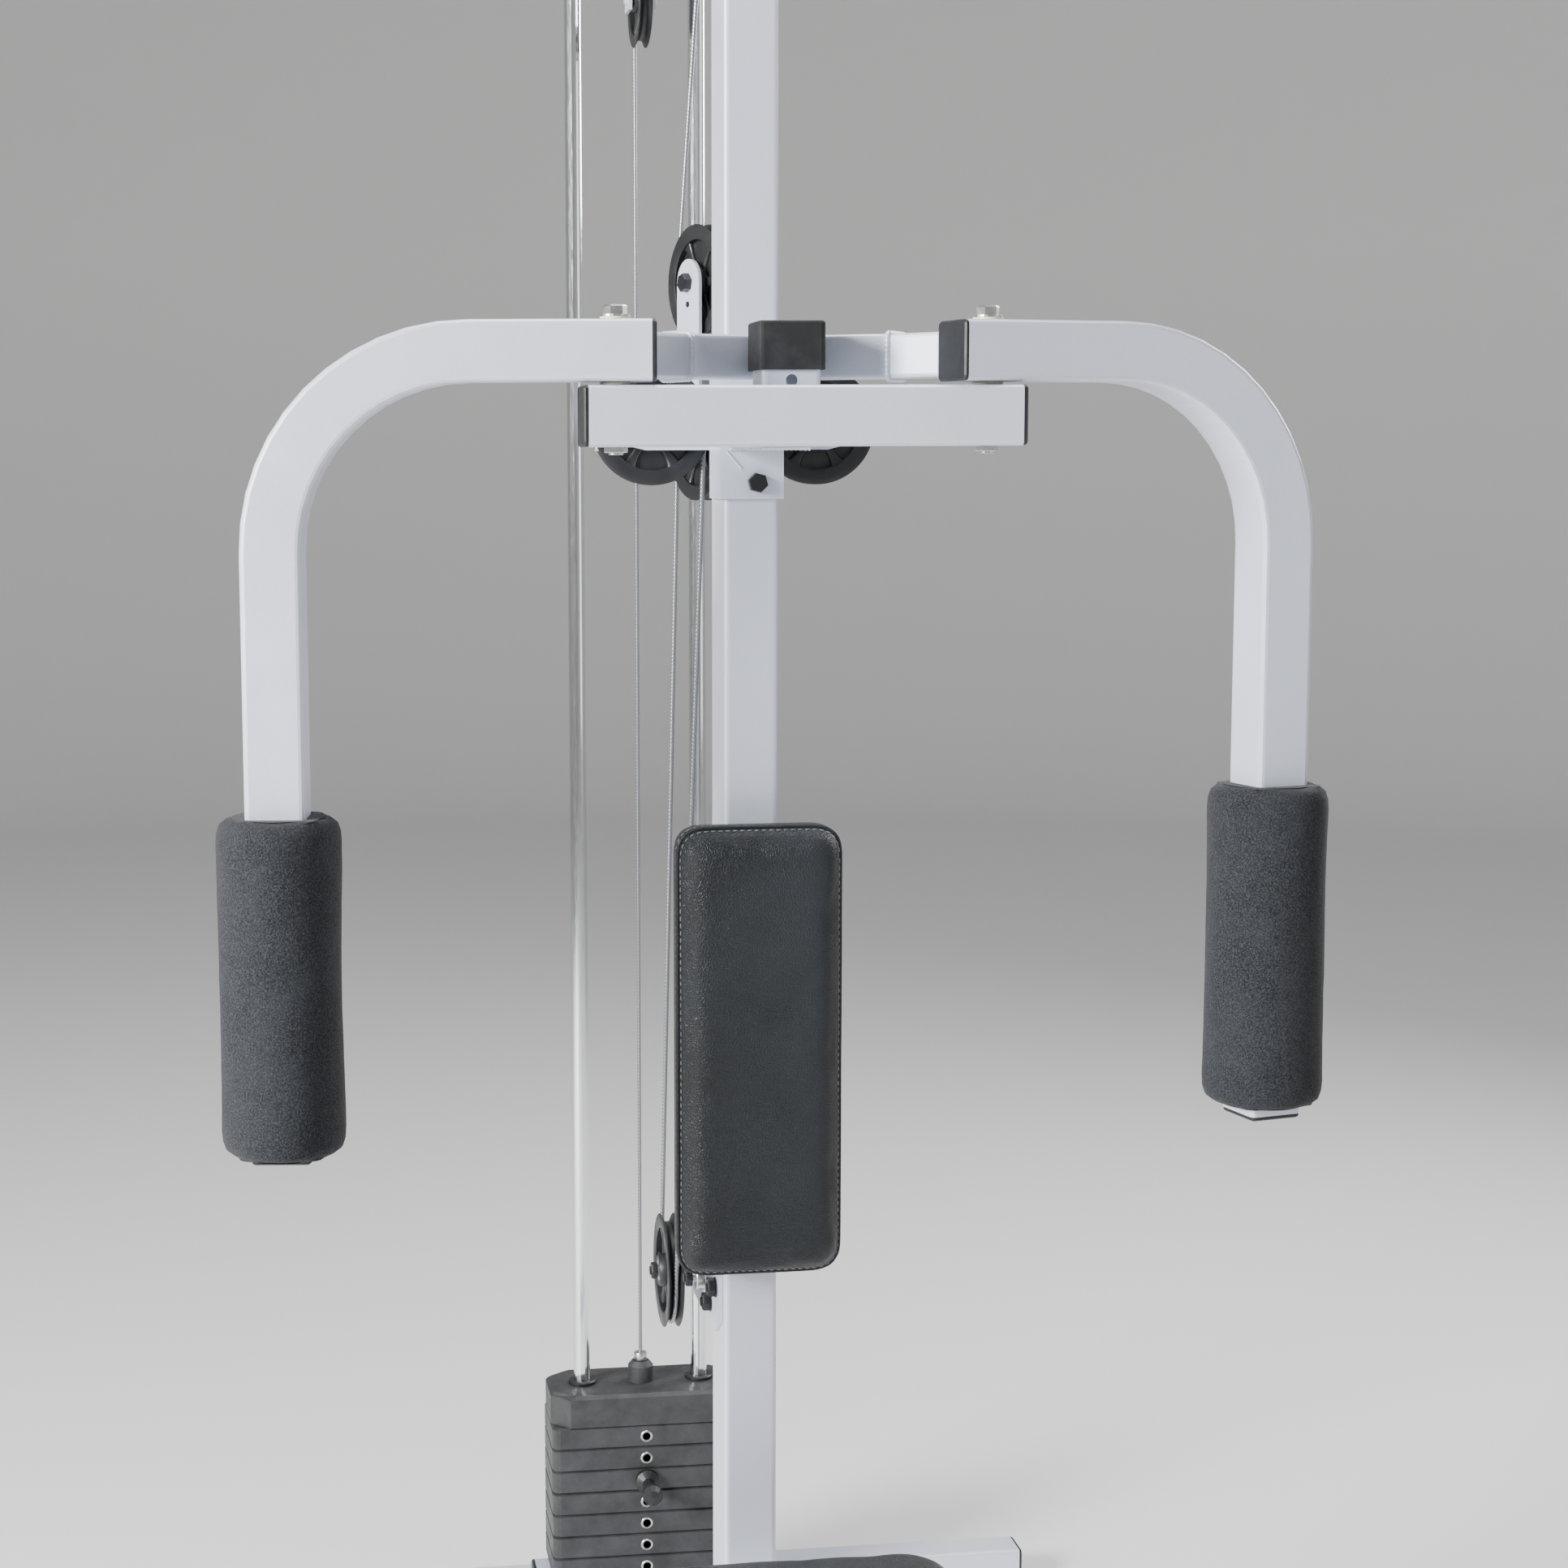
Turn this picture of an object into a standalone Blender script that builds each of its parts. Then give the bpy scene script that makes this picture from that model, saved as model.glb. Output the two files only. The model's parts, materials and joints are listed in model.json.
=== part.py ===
"""Pec fly station of a single-stack cable gym: frame, two swinging arms, pulleys, cables and weight stack.

Metres, +Z up, the user faces -Y. The origin is on the floor under the middle of the whole machine.
"""

import math

import bmesh
import bpy
from mathutils import Vector

# Driving dimensions
TUBE = 0.0508  # square frame tube, outside
UPRIGHT_DEPTH = 0.0762
WALL = 0.0025
CORNER = 0.0045  # outside corner radius of the frame tube
GAP = 0.0003  # clearance kept between pieces that touch
SIDES = 24  # facets of a round piece

CROSS_TOP = 1.560  # height of the cross tube's upper face
TOTAL_HEIGHT = 2.160
FOOT_HALF = 0.520  # half the length of a foot tube
UPRIGHT_FRONT = -0.185  # the upright's front face
FRONT_END = UPRIGHT_FRONT - 0.560
REAR_END = -FRONT_END
STACK_Y = UPRIGHT_FRONT + 0.800
STACK_TOP = 0.340  # upper face of the top weight plate at rest

CROSS_FRONT = UPRIGHT_FRONT - 0.2723  # the cross tube's front face
CROSS_HALF = 0.1834
PIVOT_X = 0.158
PIVOT_Y = CROSS_FRONT + TUBE / 2
ARM_RISE = 0.0030  # from the cross tube to the arm tube, filled by the bushing's flange
ARM_BOTTOM = CROSS_TOP + ARM_RISE
ARM_TOP = ARM_BOTTOM + TUBE
ARM_INNER = 0.0303  # the arm tube past its pivot, towards the middle
ARM_REACH = 0.2867  # pivot to the centreline of the hanging leg
BEND_RADIUS = 0.165
LEG_BOTTOM = CROSS_TOP - 0.650
SWEEP = {"left": math.radians(7.3), "right": math.radians(12.9)}  # how far each arm rests behind the side line
SIGN = {"left": -1, "right": 1}

FOAM_RADIUS = 0.054
FOAM_LENGTH = 0.290
FOAM_BOTTOM = {"left": CROSS_TOP - 0.6485, "right": CROSS_TOP - 0.6415}

PULLEY_RADIUS = 0.05715
GROOVE_RADIUS = 0.0515  # to the centre of a cable lying in the groove
PULLEY_WIDTH = 0.022
AXLE_RADIUS = 0.0048
BORE_RADIUS = 0.0052
CABLE_RADIUS = 0.0023

PEC_PULLEY_X = 0.080
PEC_PULLEY_Y = UPRIGHT_FRONT + 0.098
PEC_PULLEY_Z = CROSS_TOP - 0.029
BLOCK_X, BLOCK_Y = -0.018, UPRIGHT_FRONT + 0.180
BLOCK_TURN = math.radians(19)  # the floating block's plane, off the fore-and-aft line
BLOCK_UPPER_Z = CROSS_TOP + 0.111
BLOCK_LOWER_Z = CROSS_TOP - 0.045
BOOM_PULLEY_Z = TOTAL_HEIGHT - TUBE - 0.072
LOW_PULLEY = Vector((-0.058, UPRIGHT_FRONT + 0.150, CROSS_TOP - 0.878))
FRONT_BOOM_PULLEY = Vector((-0.009, BLOCK_Y + 0.1002, BOOM_PULLEY_Z))
REAR_BOOM_PULLEY = Vector((0, STACK_Y - GROOVE_RADIUS, BOOM_PULLEY_Z))
ROD_X = 0.0745
ROD_RADIUS = 0.0103
BACK_PAD_TOP = CROSS_TOP - 0.397
BACK_PAD_SIZE = (0.160, 0.052, 0.430)
SEAT_TOP = 0.465

PAINT = ("painted_frame", (0.62, 0.63, 0.66), 0.35, 0.0)
BLACK = ("black_plastic", (0.025, 0.026, 0.028), 0.5, 0.0)
RUBBER = ("black_rubber", (0.03, 0.03, 0.03), 0.8, 0.0)
FOAM = ("charcoal_foam", (0.05, 0.055, 0.06), 0.95, 0.0)
VINYL = ("charcoal_vinyl", (0.035, 0.038, 0.043), 0.45, 0.0)
CHROME = ("chrome", (0.8, 0.8, 0.8), 0.08, 1.0)
ZINC = ("zinc", (0.6, 0.6, 0.58), 0.35, 1.0)
BLACK_STEEL = ("black_steel", (0.02, 0.02, 0.02), 0.4, 1.0)
BRONZE = ("bronze_bush", (0.72, 0.62, 0.42), 0.45, 0.0)
IRON = ("cast_iron", (0.05, 0.05, 0.055), 0.6, 0.0)
BOARD = ("board", (0.05, 0.045, 0.04), 0.8, 0.0)

X, Y, Z = Vector((1, 0, 0)), Vector((0, 1, 0)), Vector((0, 0, 1))


def clear_scene():
    for obj in list(bpy.data.objects):
        bpy.data.objects.remove(obj, do_unlink=True)


def material(spec):
    """The Principled material that a spec of name, colour, roughness and metallic describes."""
    name, colour, roughness, metallic = spec
    found = bpy.data.materials.get(name)
    if found:
        return found
    made = bpy.data.materials.new(name)
    made.use_nodes = True
    shader = made.node_tree.nodes["Principled BSDF"]
    shader.inputs["Base Color"].default_value = (*colour, 1)
    shader.inputs["Roughness"].default_value = roughness
    shader.inputs["Metallic"].default_value = metallic
    return made


def add_object(name, bm, spec, origin=None):
    """Turns a bmesh in world coordinates into an object whose origin is at the given point."""
    bmesh.ops.recalc_face_normals(bm, faces=bm.faces)
    origin = Vector(origin) if origin is not None else Vector((0, 0, 0))
    bmesh.ops.translate(bm, verts=bm.verts, vec=-origin)
    mesh = bpy.data.meshes.new(name)
    bm.to_mesh(mesh)
    bm.free()
    mesh.shade_smooth()
    mesh.set_sharp_from_angle(angle=math.radians(35))
    obj = bpy.data.objects.new(name, mesh)
    obj.location = origin
    obj.data.materials.append(material(spec))
    bpy.context.collection.objects.link(obj)
    return obj


def rounded_rect(width, depth, radius, steps=3):
    """Outline of a rounded rectangle, counter-clockwise, with steps + 1 points on each corner."""
    points = []
    for corner in range(4):
        cx = (width / 2 - radius) * (1 if corner in (0, 3) else -1)
        cy = (depth / 2 - radius) * (1 if corner in (0, 1) else -1)
        for step in range(steps + 1):
            a = math.pi / 2 * (corner + step / steps)
            points.append((cx + radius * math.cos(a), cy + radius * math.sin(a)))
    return points


def circle(radius, sides=SIDES):
    return [(radius * math.cos(2 * math.pi * i / sides), radius * math.sin(2 * math.pi * i / sides)) for i in range(sides)]


def polygon_ring(corners, inradius, sides=SIDES):
    """A regular polygon with as many points as a circle, so that the two can be lofted together."""
    points = []
    for i in range(sides):
        a = 2 * math.pi * i / sides
        sector = 2 * math.pi / corners
        off = (a % sector) - sector / 2
        r = inradius / math.cos(off)
        points.append((r * math.cos(a), r * math.sin(a)))
    return points


def loft(name, rings, spec, hollow=None, origin=None):
    """Skins a list of rings of equal count. With hollow, a second list of rings is the bore, open at both ends."""
    bm = bmesh.new()
    count = len(rings[0])

    def skin(sections):
        made = [[bm.verts.new(p) for p in section] for section in sections]
        for lower, upper in zip(made, made[1:]):
            for i in range(count):
                j = (i + 1) % count
                bm.faces.new((lower[i], lower[j], upper[j], upper[i]))
        return made

    outer = skin(rings)
    if hollow is None:
        bm.faces.new(outer[0])
        bm.faces.new(outer[-1])
    else:
        inner = skin(hollow)
        for end in (0, -1):
            for i in range(count):
                j = (i + 1) % count
                bm.faces.new((outer[end][i], outer[end][j], inner[end][j], inner[end][i]))
    return add_object(name, bm, spec, origin)


def section(profile, centre, across, up):
    return [Vector(centre) + across * a + up * b for a, b in profile]


def straight_tube(name, start, end, across, size=(TUBE, TUBE), wall=WALL, spec=PAINT, radius=CORNER):
    """Hollow rectangular tube from start to end. size is its width along across and its other width."""
    start, end = Vector(start), Vector(end)
    up = (end - start).normalized().cross(across).normalized()
    outside = rounded_rect(size[0], size[1], radius)
    inside = rounded_rect(size[0] - 2 * wall, size[1] - 2 * wall, max(radius - wall, 0.001))
    ends = (start, end)
    return loft(
        name,
        [section(outside, c, across, up) for c in ends],
        spec,
        [section(inside, c, across, up) for c in ends],
    )


def turned(name, profile, centre, axis, spec, origin=None, sides=SIDES):
    """Turns a closed outline of (radius, height) points about an axis. Points on the axis close the solid."""
    axis = Vector(axis).normalized()
    side = axis.orthogonal().normalized()
    other = axis.cross(side)
    bm = bmesh.new()
    rings = []
    for radius, height in profile:
        base = Vector(centre) + axis * height
        if radius < 1e-6:
            rings.append([bm.verts.new(base)])
        else:
            rings.append([bm.verts.new(base + side * a + other * b) for a, b in circle(radius, sides)])
    closed = all(len(r) > 1 for r in rings)
    pairs = list(zip(rings, rings[1:])) + ([(rings[-1], rings[0])] if closed else [])
    for lower, upper in pairs:
        for i in range(sides):
            j = (i + 1) % sides
            if len(lower) == 1:
                bm.faces.new((lower[0], upper[j], upper[i]))
            elif len(upper) == 1:
                bm.faces.new((lower[i], lower[j], upper[0]))
            else:
                bm.faces.new((lower[i], lower[j], upper[j], upper[i]))
    return add_object(name, bm, spec, origin if origin is not None else centre)


def extruded(name, outline, place, thickness, spec, origin=None):
    """A flat plate: an outline of (a, b) points, placed by a function of (a, b, depth), of the given thickness."""
    rings = [[place(a, b, depth) for a, b in outline] for depth in (0, thickness)]
    return loft(name, rings, spec, origin=origin)


def block(name, low, high, spec, radius=0.002):
    """An upright box with rounded vertical edges."""
    low, high = Vector(low), Vector(high)
    centre = (low + high) / 2
    outline = rounded_rect(high.x - low.x, high.y - low.y, radius)
    rings = [section(outline, (centre.x, centre.y, z), X, Y) for z in (low.z, high.z)]
    return loft(name, rings, spec)


def cut(obj, *cutters):
    """Subtracts each cutter from an object."""
    for cutter in cutters:
        cutter.hide_render = True
        cutter.display_type = "WIRE"
        change = obj.modifiers.new("cut", "BOOLEAN")
        change.operation = "DIFFERENCE"
        change.solver = "EXACT"
        change.object = cutter


def join(obj, other):
    """Adds another solid to an object, which then stay one welded piece."""
    other.hide_render = True
    other.display_type = "WIRE"
    change = obj.modifiers.new("join", "BOOLEAN")
    change.operation = "UNION"
    change.solver = "EXACT"
    change.object = other


def drill(obj, centre, axis, radius, length):
    """Makes a round hole in an object, centred on a point of the axis."""
    half = length / 2
    profile = [(0, -half), (radius, -half), (radius, half), (0, half)]
    cut(obj, turned("cutter", profile, centre, axis, BLACK))


def bolt(name, centre, axis, spec, head_flats, head_height, shank_radius, shank_length, washer=0.0):
    """Hex bolt: the seat of its head is at the centre, and the shank runs back along the axis."""
    axis = Vector(axis).normalized()
    side = axis.orthogonal().normalized()
    other = axis.cross(side)
    centre = Vector(centre)
    hexagon = polygon_ring(6, head_flats / 2)
    chamfer = [(a * 0.93, b * 0.93) for a, b in hexagon]
    shank = circle(shank_radius)
    stations = [(shank, -shank_length), (shank, 0)]
    if washer:
        rim = circle(head_flats * 0.66)
        stations += [(rim, 0), (rim, washer)]
    stations += [(hexagon, washer), (hexagon, washer + head_height * 0.85), (chamfer, washer + head_height)]
    rings = [section(profile, centre + axis * height, side, other) for profile, height in stations]
    return loft(name, rings, spec, origin=centre)


def end_plug(name, centre, outward, across, up, size=(TUBE, TUBE), spec=BLACK):
    """Plastic plug: a flange on the tube's end and a spigot inside it."""
    outward, centre = Vector(outward), Vector(centre)
    inside = 2 * WALL + 2 * GAP
    spigot = rounded_rect(size[0] - inside, size[1] - inside, 0.002)
    flange = rounded_rect(size[0] - 0.0004, size[1] - 0.0004, CORNER)
    crown = rounded_rect(size[0] - 0.0034, size[1] - 0.0034, CORNER - 0.0015)
    stations = [(spigot, -0.014), (spigot, GAP), (flange, GAP), (flange, 0.0024), (crown, 0.0038)]
    rings = [section(profile, centre + outward * height, across, up) for profile, height in stations]
    return loft(name, rings, spec)


def pulley(name, centre, axis):
    """Grooved cable pulley with a hub, a thin web and a rim."""
    w, hub = PULLEY_WIDTH / 2, 0.012
    profile = [
        (BORE_RADIUS, -w),
        (hub, -w),
        (hub, -0.004),
        (0.041, -0.004),
        (0.043, -w + 0.003),
        (PULLEY_RADIUS, -w + 0.003),
        (PULLEY_RADIUS, -0.007),
        (GROOVE_RADIUS - CABLE_RADIUS - GAP, -0.003),
        (GROOVE_RADIUS - CABLE_RADIUS - GAP, 0.003),
        (PULLEY_RADIUS, 0.007),
        (PULLEY_RADIUS, w - 0.003),
        (0.043, w - 0.003),
        (0.041, 0.004),
        (hub, 0.004),
        (hub, w),
        (BORE_RADIUS, w),
    ]
    return turned(name, profile, centre, axis, BLACK, sides=28)


def wrap(centre, first, second, start, end, steps=12):
    """Points round a pulley's groove, from one angle to another, whose chords touch the groove's own circle."""
    radius = GROOVE_RADIUS / math.cos(math.radians(end - start) / steps / 2)
    points = []
    for i in range(steps + 1):
        a = math.radians(start + (end - start) * i / steps)
        points.append(Vector(centre) + first * (radius * math.cos(a)) + second * (radius * math.sin(a)))
    return points


def cable(name, points, spec=ZINC):
    """A cable held along its whole route."""
    curve = bpy.data.curves.new(name, "CURVE")
    curve.dimensions = "3D"
    curve.bevel_depth = CABLE_RADIUS
    curve.bevel_resolution = 2
    curve.use_fill_caps = True
    spline = curve.splines.new("POLY")
    spline.points.add(len(points) - 1)
    for target, point in zip(spline.points, points):
        target.co = (*point, 1)
    obj = bpy.data.objects.new(name, curve)
    obj.data.materials.append(material(spec))
    bpy.context.collection.objects.link(obj)
    return obj


def make_base():
    """Base rail and two foot tubes on the floor."""
    z = TUBE / 2
    front, rear = FRONT_END + TUBE / 2, REAR_END - TUBE / 2
    straight_tube("front_foot_tube", (-FOOT_HALF, front, z), (FOOT_HALF, front, z), Y)
    straight_tube("rear_foot_tube", (-FOOT_HALF, rear, z), (FOOT_HALF, rear, z), Y)
    inner = TUBE / 2 + GAP
    straight_tube("base_rail", (0, front + inner, z), (0, rear - inner, z), X)


def make_upright():
    """Main upright, with the top boom on it."""
    y = UPRIGHT_FRONT + UPRIGHT_DEPTH / 2
    boom_bottom = TOTAL_HEIGHT - TUBE
    tube = straight_tube("upright", (0, y, TUBE + GAP), (0, y, boom_bottom - GAP), X, (TUBE, UPRIGHT_DEPTH))
    drill(tube, (0.0047, UPRIGHT_FRONT, CROSS_TOP - 0.083), Y, 0.0056, 0.02)
    start, end = UPRIGHT_FRONT - 0.040, STACK_Y + 0.075
    straight_tube("top_boom", (0, start, TOTAL_HEIGHT - TUBE / 2), (0, end, TOTAL_HEIGHT - TUBE / 2), X)


def make_forward_frame():
    """Saddle bracket, forward beam, stop post with its rubber cap, and cross tube."""
    beam_z = CROSS_TOP - TUBE / 2
    post_x = -0.0045
    post_y = CROSS_FRONT + TUBE * 1.5 + GAP
    plate = 0.0040
    half = TUBE / 2 + GAP
    outline = [
        (-half, 0.060),
        (-half, -GAP),
        (half, -GAP),
        (half, 0.060),
        (half + plate, 0.060),
        (half + plate, -GAP - plate),
        (-half - plate, -GAP - plate),
        (-half - plate, 0.060),
    ]
    saddle = extruded(
        "saddle_bracket",
        outline,
        lambda a, b, depth: Vector((a, UPRIGHT_FRONT + b, CROSS_TOP - 0.098 + depth)),
        0.120,
        PAINT,
    )
    bolt_at = (0.0047, UPRIGHT_FRONT - plate - 2 * GAP, CROSS_TOP - 0.083)
    drill(saddle, bolt_at, Y, 0.0056, 0.03)
    bolt("saddle_bolt", bolt_at, -Y, BLACK_STEEL, 0.0165, 0.0085, 0.0050, 0.016)
    rear, front = UPRIGHT_FRONT - plate - 2 * GAP, post_y + TUBE / 2 + GAP
    straight_tube("forward_beam", (0, rear, beam_z), (0, front, beam_z), X)
    post = straight_tube("stop_post", (post_x, post_y, CROSS_TOP - TUBE), (post_x, post_y, CROSS_TOP + TUBE), X)
    drill(post, (post_x, post_y - TUBE / 2, CROSS_TOP + 0.0048), Y, 0.0053, 0.02)
    cap_bottom, cap_top = CROSS_TOP + 0.0138, CROSS_TOP + TUBE + 0.0040
    outer = rounded_rect(0.0576, 0.0576, 0.004)
    soft = rounded_rect(0.0546, 0.0546, 0.003)
    bore = rounded_rect(TUBE + 0.0008, TUBE + 0.0008, CORNER)
    stations = [(bore, CROSS_TOP + TUBE + GAP), (bore, cap_bottom), (outer, cap_bottom), (outer, cap_top - 0.0015), (soft, cap_top)]
    rings = [section(profile, (post_x, post_y, z), X, Y) for profile, z in stations]
    loft("bumper_cap", rings, RUBBER)
    y = CROSS_FRONT + TUBE / 2
    cross = straight_tube("cross_tube", (-CROSS_HALF, y, beam_z), (CROSS_HALF, y, beam_z), Y)
    for side, sign in SIGN.items():
        drill(cross, (sign * PIVOT_X, PIVOT_Y, beam_z), Z, 0.0068, 0.10)
        end_plug(f"{side}_cross_plug", (sign * CROSS_HALF, y, beam_z), (sign, 0, 0), Y, Z)


def turned_about_pivot(point, side):
    """Moves a point given for an arm straight out to the side to where the arm rests, swept back."""
    pivot = Vector((SIGN[side] * PIVOT_X, PIVOT_Y, 0))
    angle = SIGN[side] * SWEEP[side]
    x, y = point[0], point[1]
    c, s = math.cos(angle), math.sin(angle)
    return Vector((pivot.x + c * x - s * y, pivot.y + s * x + c * y, point[2]))


def arm_frames(side):
    """Centre, inward direction across the tube and the other direction across it, along the bent arm tube."""
    sign = SIGN[side]
    mid = ARM_BOTTOM + TUBE / 2
    straight = ARM_REACH - BEND_RADIUS
    stations = [(-ARM_INNER, mid, 0.0)]
    steps = 12
    for i in range(steps + 1):
        a = math.pi / 2 * i / steps
        stations.append((straight + BEND_RADIUS * math.sin(a), mid - BEND_RADIUS * (1 - math.cos(a)), a))
    stations.append((ARM_REACH, LEG_BOTTOM, math.pi / 2))
    frames = []
    for out, z, a in stations:
        centre = turned_about_pivot((sign * out, 0, z), side)
        outward = turned_about_pivot((sign, 0, 0), side) - turned_about_pivot((0, 0, 0), side)
        rear = turned_about_pivot((0, 1, 0), side) - turned_about_pivot((0, 0, 0), side)
        frames.append((centre, outward * math.sin(a) + Z * math.cos(a), rear))
    return frames


def make_arm(side):
    """One pec arm with its lever, plugs, foam roller and bushings, on its pivot."""
    sign = SIGN[side]
    pivot = Vector((sign * PIVOT_X, PIVOT_Y, 0))
    frames = arm_frames(side)
    outside = rounded_rect(TUBE, TUBE, CORNER)
    inside = rounded_rect(TUBE - 2 * WALL, TUBE - 2 * WALL, CORNER - WALL)
    arm = loft(
        f"{side}_arm_tube",
        [section(outside, c, up, rear) for c, up, rear in frames],
        PAINT,
        [section(inside, c, up, rear) for c, up, rear in frames],
        origin=pivot + Z * ARM_BOTTOM,
    )
    drill(arm, pivot + Z * (ARM_BOTTOM + TUBE / 2), Z, 0.0106, 0.10)
    inner, bottom = frames[0], frames[-1]
    inward = (turned_about_pivot((-sign, 0, 0), side) - turned_about_pivot((0, 0, 0), side)).normalized()
    end_plug(f"{side}_arm_plug", inner[0], inward, inner[2], Z)
    end_plug(f"{side}_leg_plug", bottom[0], -Z, bottom[1], bottom[2])
    make_foam(side, bottom)
    make_bushings(side, pivot)
    make_lever(side)


def make_foam(side, leg):
    """Foam sleeve on the hanging leg: round outside, square inside."""
    low = FOAM_BOTTOM[side]
    bore = [p for p in polygon_ring(4, TUBE / 2 + 0.0004)]
    turned_bore = [(a * math.cos(math.pi / 4) - b * math.sin(math.pi / 4), a * math.sin(math.pi / 4) + b * math.cos(math.pi / 4)) for a, b in bore]
    stations = [
        (0.0, FOAM_RADIUS - 0.009),
        (0.003, FOAM_RADIUS - 0.004),
        (0.010, FOAM_RADIUS),
        (FOAM_LENGTH - 0.010, FOAM_RADIUS),
        (FOAM_LENGTH - 0.003, FOAM_RADIUS - 0.004),
        (FOAM_LENGTH, FOAM_RADIUS - 0.009),
    ]
    outward, rear = leg[1], leg[2]
    centre = Vector((leg[0].x, leg[0].y, low))
    across, along = (outward + rear).normalized(), (rear - outward).normalized()
    rings = [section(circle(r), centre + Z * h, across, along) for h, r in stations]
    bores = [section(turned_bore, centre + Z * h, outward, rear) for h in (0.0, FOAM_LENGTH)]
    loft(f"{side}_foam_roller", rings, FOAM, bores)


def make_bushings(side, pivot):
    """Flanged bushings in the arm tube, the pivot bolt through them and its nut under the cross tube."""
    barrel, bore, flange = 0.0102, 0.0067, 0.0130
    for level, face, direction in (("lower", ARM_BOTTOM, -1), ("upper", ARM_TOP, 1)):
        rim = ARM_RISE - 2 * GAP
        profile = [(bore, -0.014), (barrel, -0.014), (barrel, GAP), (flange, GAP), (flange, rim), (bore, rim)]
        turned(f"{side}_{level}_bushing", profile, pivot + Z * face, Z * direction, BRONZE)
    seat = ARM_TOP + ARM_RISE - GAP
    hexagon, head_soft, shank = polygon_ring(6, 0.0086), polygon_ring(6, 0.0079), circle(0.0063)
    washer, nut_top = circle(0.0125), CROSS_TOP - TUBE - GAP
    stations = [
        (circle(0.0055), nut_top - 0.0062),
        (shank, nut_top - 0.0056),
        (shank, nut_top - 0.0044),
        (head_soft, nut_top - 0.0044),
        (hexagon, nut_top - 0.0036),
        (hexagon, nut_top),
        (shank, nut_top),
        (shank, seat),
        (washer, seat),
        (washer, seat + 0.0016),
        (hexagon, seat + 0.0016),
        (hexagon, seat + 0.0082),
        (head_soft, seat + 0.0094),
    ]
    rings = [section(profile, (pivot.x, pivot.y, z), X, Y) for profile, z in stations]
    loft(f"{side}_pivot_bolt", rings, ZINC)


def make_lever(side):
    """Welded lever from the arm's rear face in behind the stop post, in two mitred lengths of smaller tube."""
    sign = SIGN[side]
    size, wall = 0.0381, 0.0020
    mid = CROSS_TOP + 0.0265
    corner = turned_about_pivot((-sign * ARM_INNER, TUBE / 2 + GAP, 0), side)
    start = Vector((corner.x, corner.y + 0.0020, mid))
    knee = Vector((sign * 0.0856, CROSS_FRONT + 0.0853, mid))
    tip = Vector((sign * 0.0220, CROSS_FRONT + 0.1103, mid))
    first, second = (knee - start).normalized(), (tip - knee).normalized()

    def behind(direction):
        return Vector((-direction.y, direction.x, 0)) * (-sign)

    rear_face = turned_about_pivot((0, 1, 0), side) - turned_about_pivot((0, 0, 0), side)
    along_face = Vector((rear_face.y, -rear_face.x, 0)) * sign
    mitre = (behind(first) + behind(second)).normalized()
    slant = along_face * (1 / behind(first).dot(along_face))
    stations = [(start, slant), (knee, mitre * (1 / mitre.dot(behind(second)))), (tip, behind(second))]
    outside = rounded_rect(size, size, 0.0035)
    inside = rounded_rect(size - 2 * wall, size - 2 * wall, 0.0015)
    shift = size / 2
    rings = [section(outside, c + across * shift, across, Z) for c, across in stations]
    bores = [section(inside, c + across * shift, across, Z) for c, across in stations]
    loft(f"{side}_lever", rings, PAINT, bores)


def make_pec_pulleys():
    """Plate across the back of the upright with a pulley on each end."""
    back = UPRIGHT_FRONT + UPRIGHT_DEPTH + GAP
    plate_back = back + 0.0060
    outline = [(-0.1420, 0.020), (-0.1420, -0.010), (-0.0880, -0.0235), (0.0880, -0.0235), (0.1420, -0.010), (0.1420, 0.020)]
    plate = extruded(
        "pulley_plate",
        outline,
        lambda a, b, depth: Vector((a, back + depth, PEC_PULLEY_Z + b)),
        0.0060,
        PAINT,
    )
    for side, sign in SIGN.items():
        centre = (sign * PEC_PULLEY_X, PEC_PULLEY_Y, PEC_PULLEY_Z)
        pulley(f"{side}_pec_pulley", centre, Y)
        drill(plate, (centre[0], plate_back, PEC_PULLEY_Z), Y, 0.0052, 0.02)
        seat = (centre[0], back - GAP, PEC_PULLEY_Z)
        bolt(f"{side}_pec_pulley_bolt", seat, -Y, BLACK_STEEL, 0.0160, 0.0065, AXLE_RADIUS, 0.036)


def block_directions():
    """Along the floating block's plane, and square to it towards the front."""
    along = Vector((-math.sin(BLOCK_TURN), math.cos(BLOCK_TURN), 0))
    square = Vector((-math.cos(BLOCK_TURN), -math.sin(BLOCK_TURN), 0))
    return along, square


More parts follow.
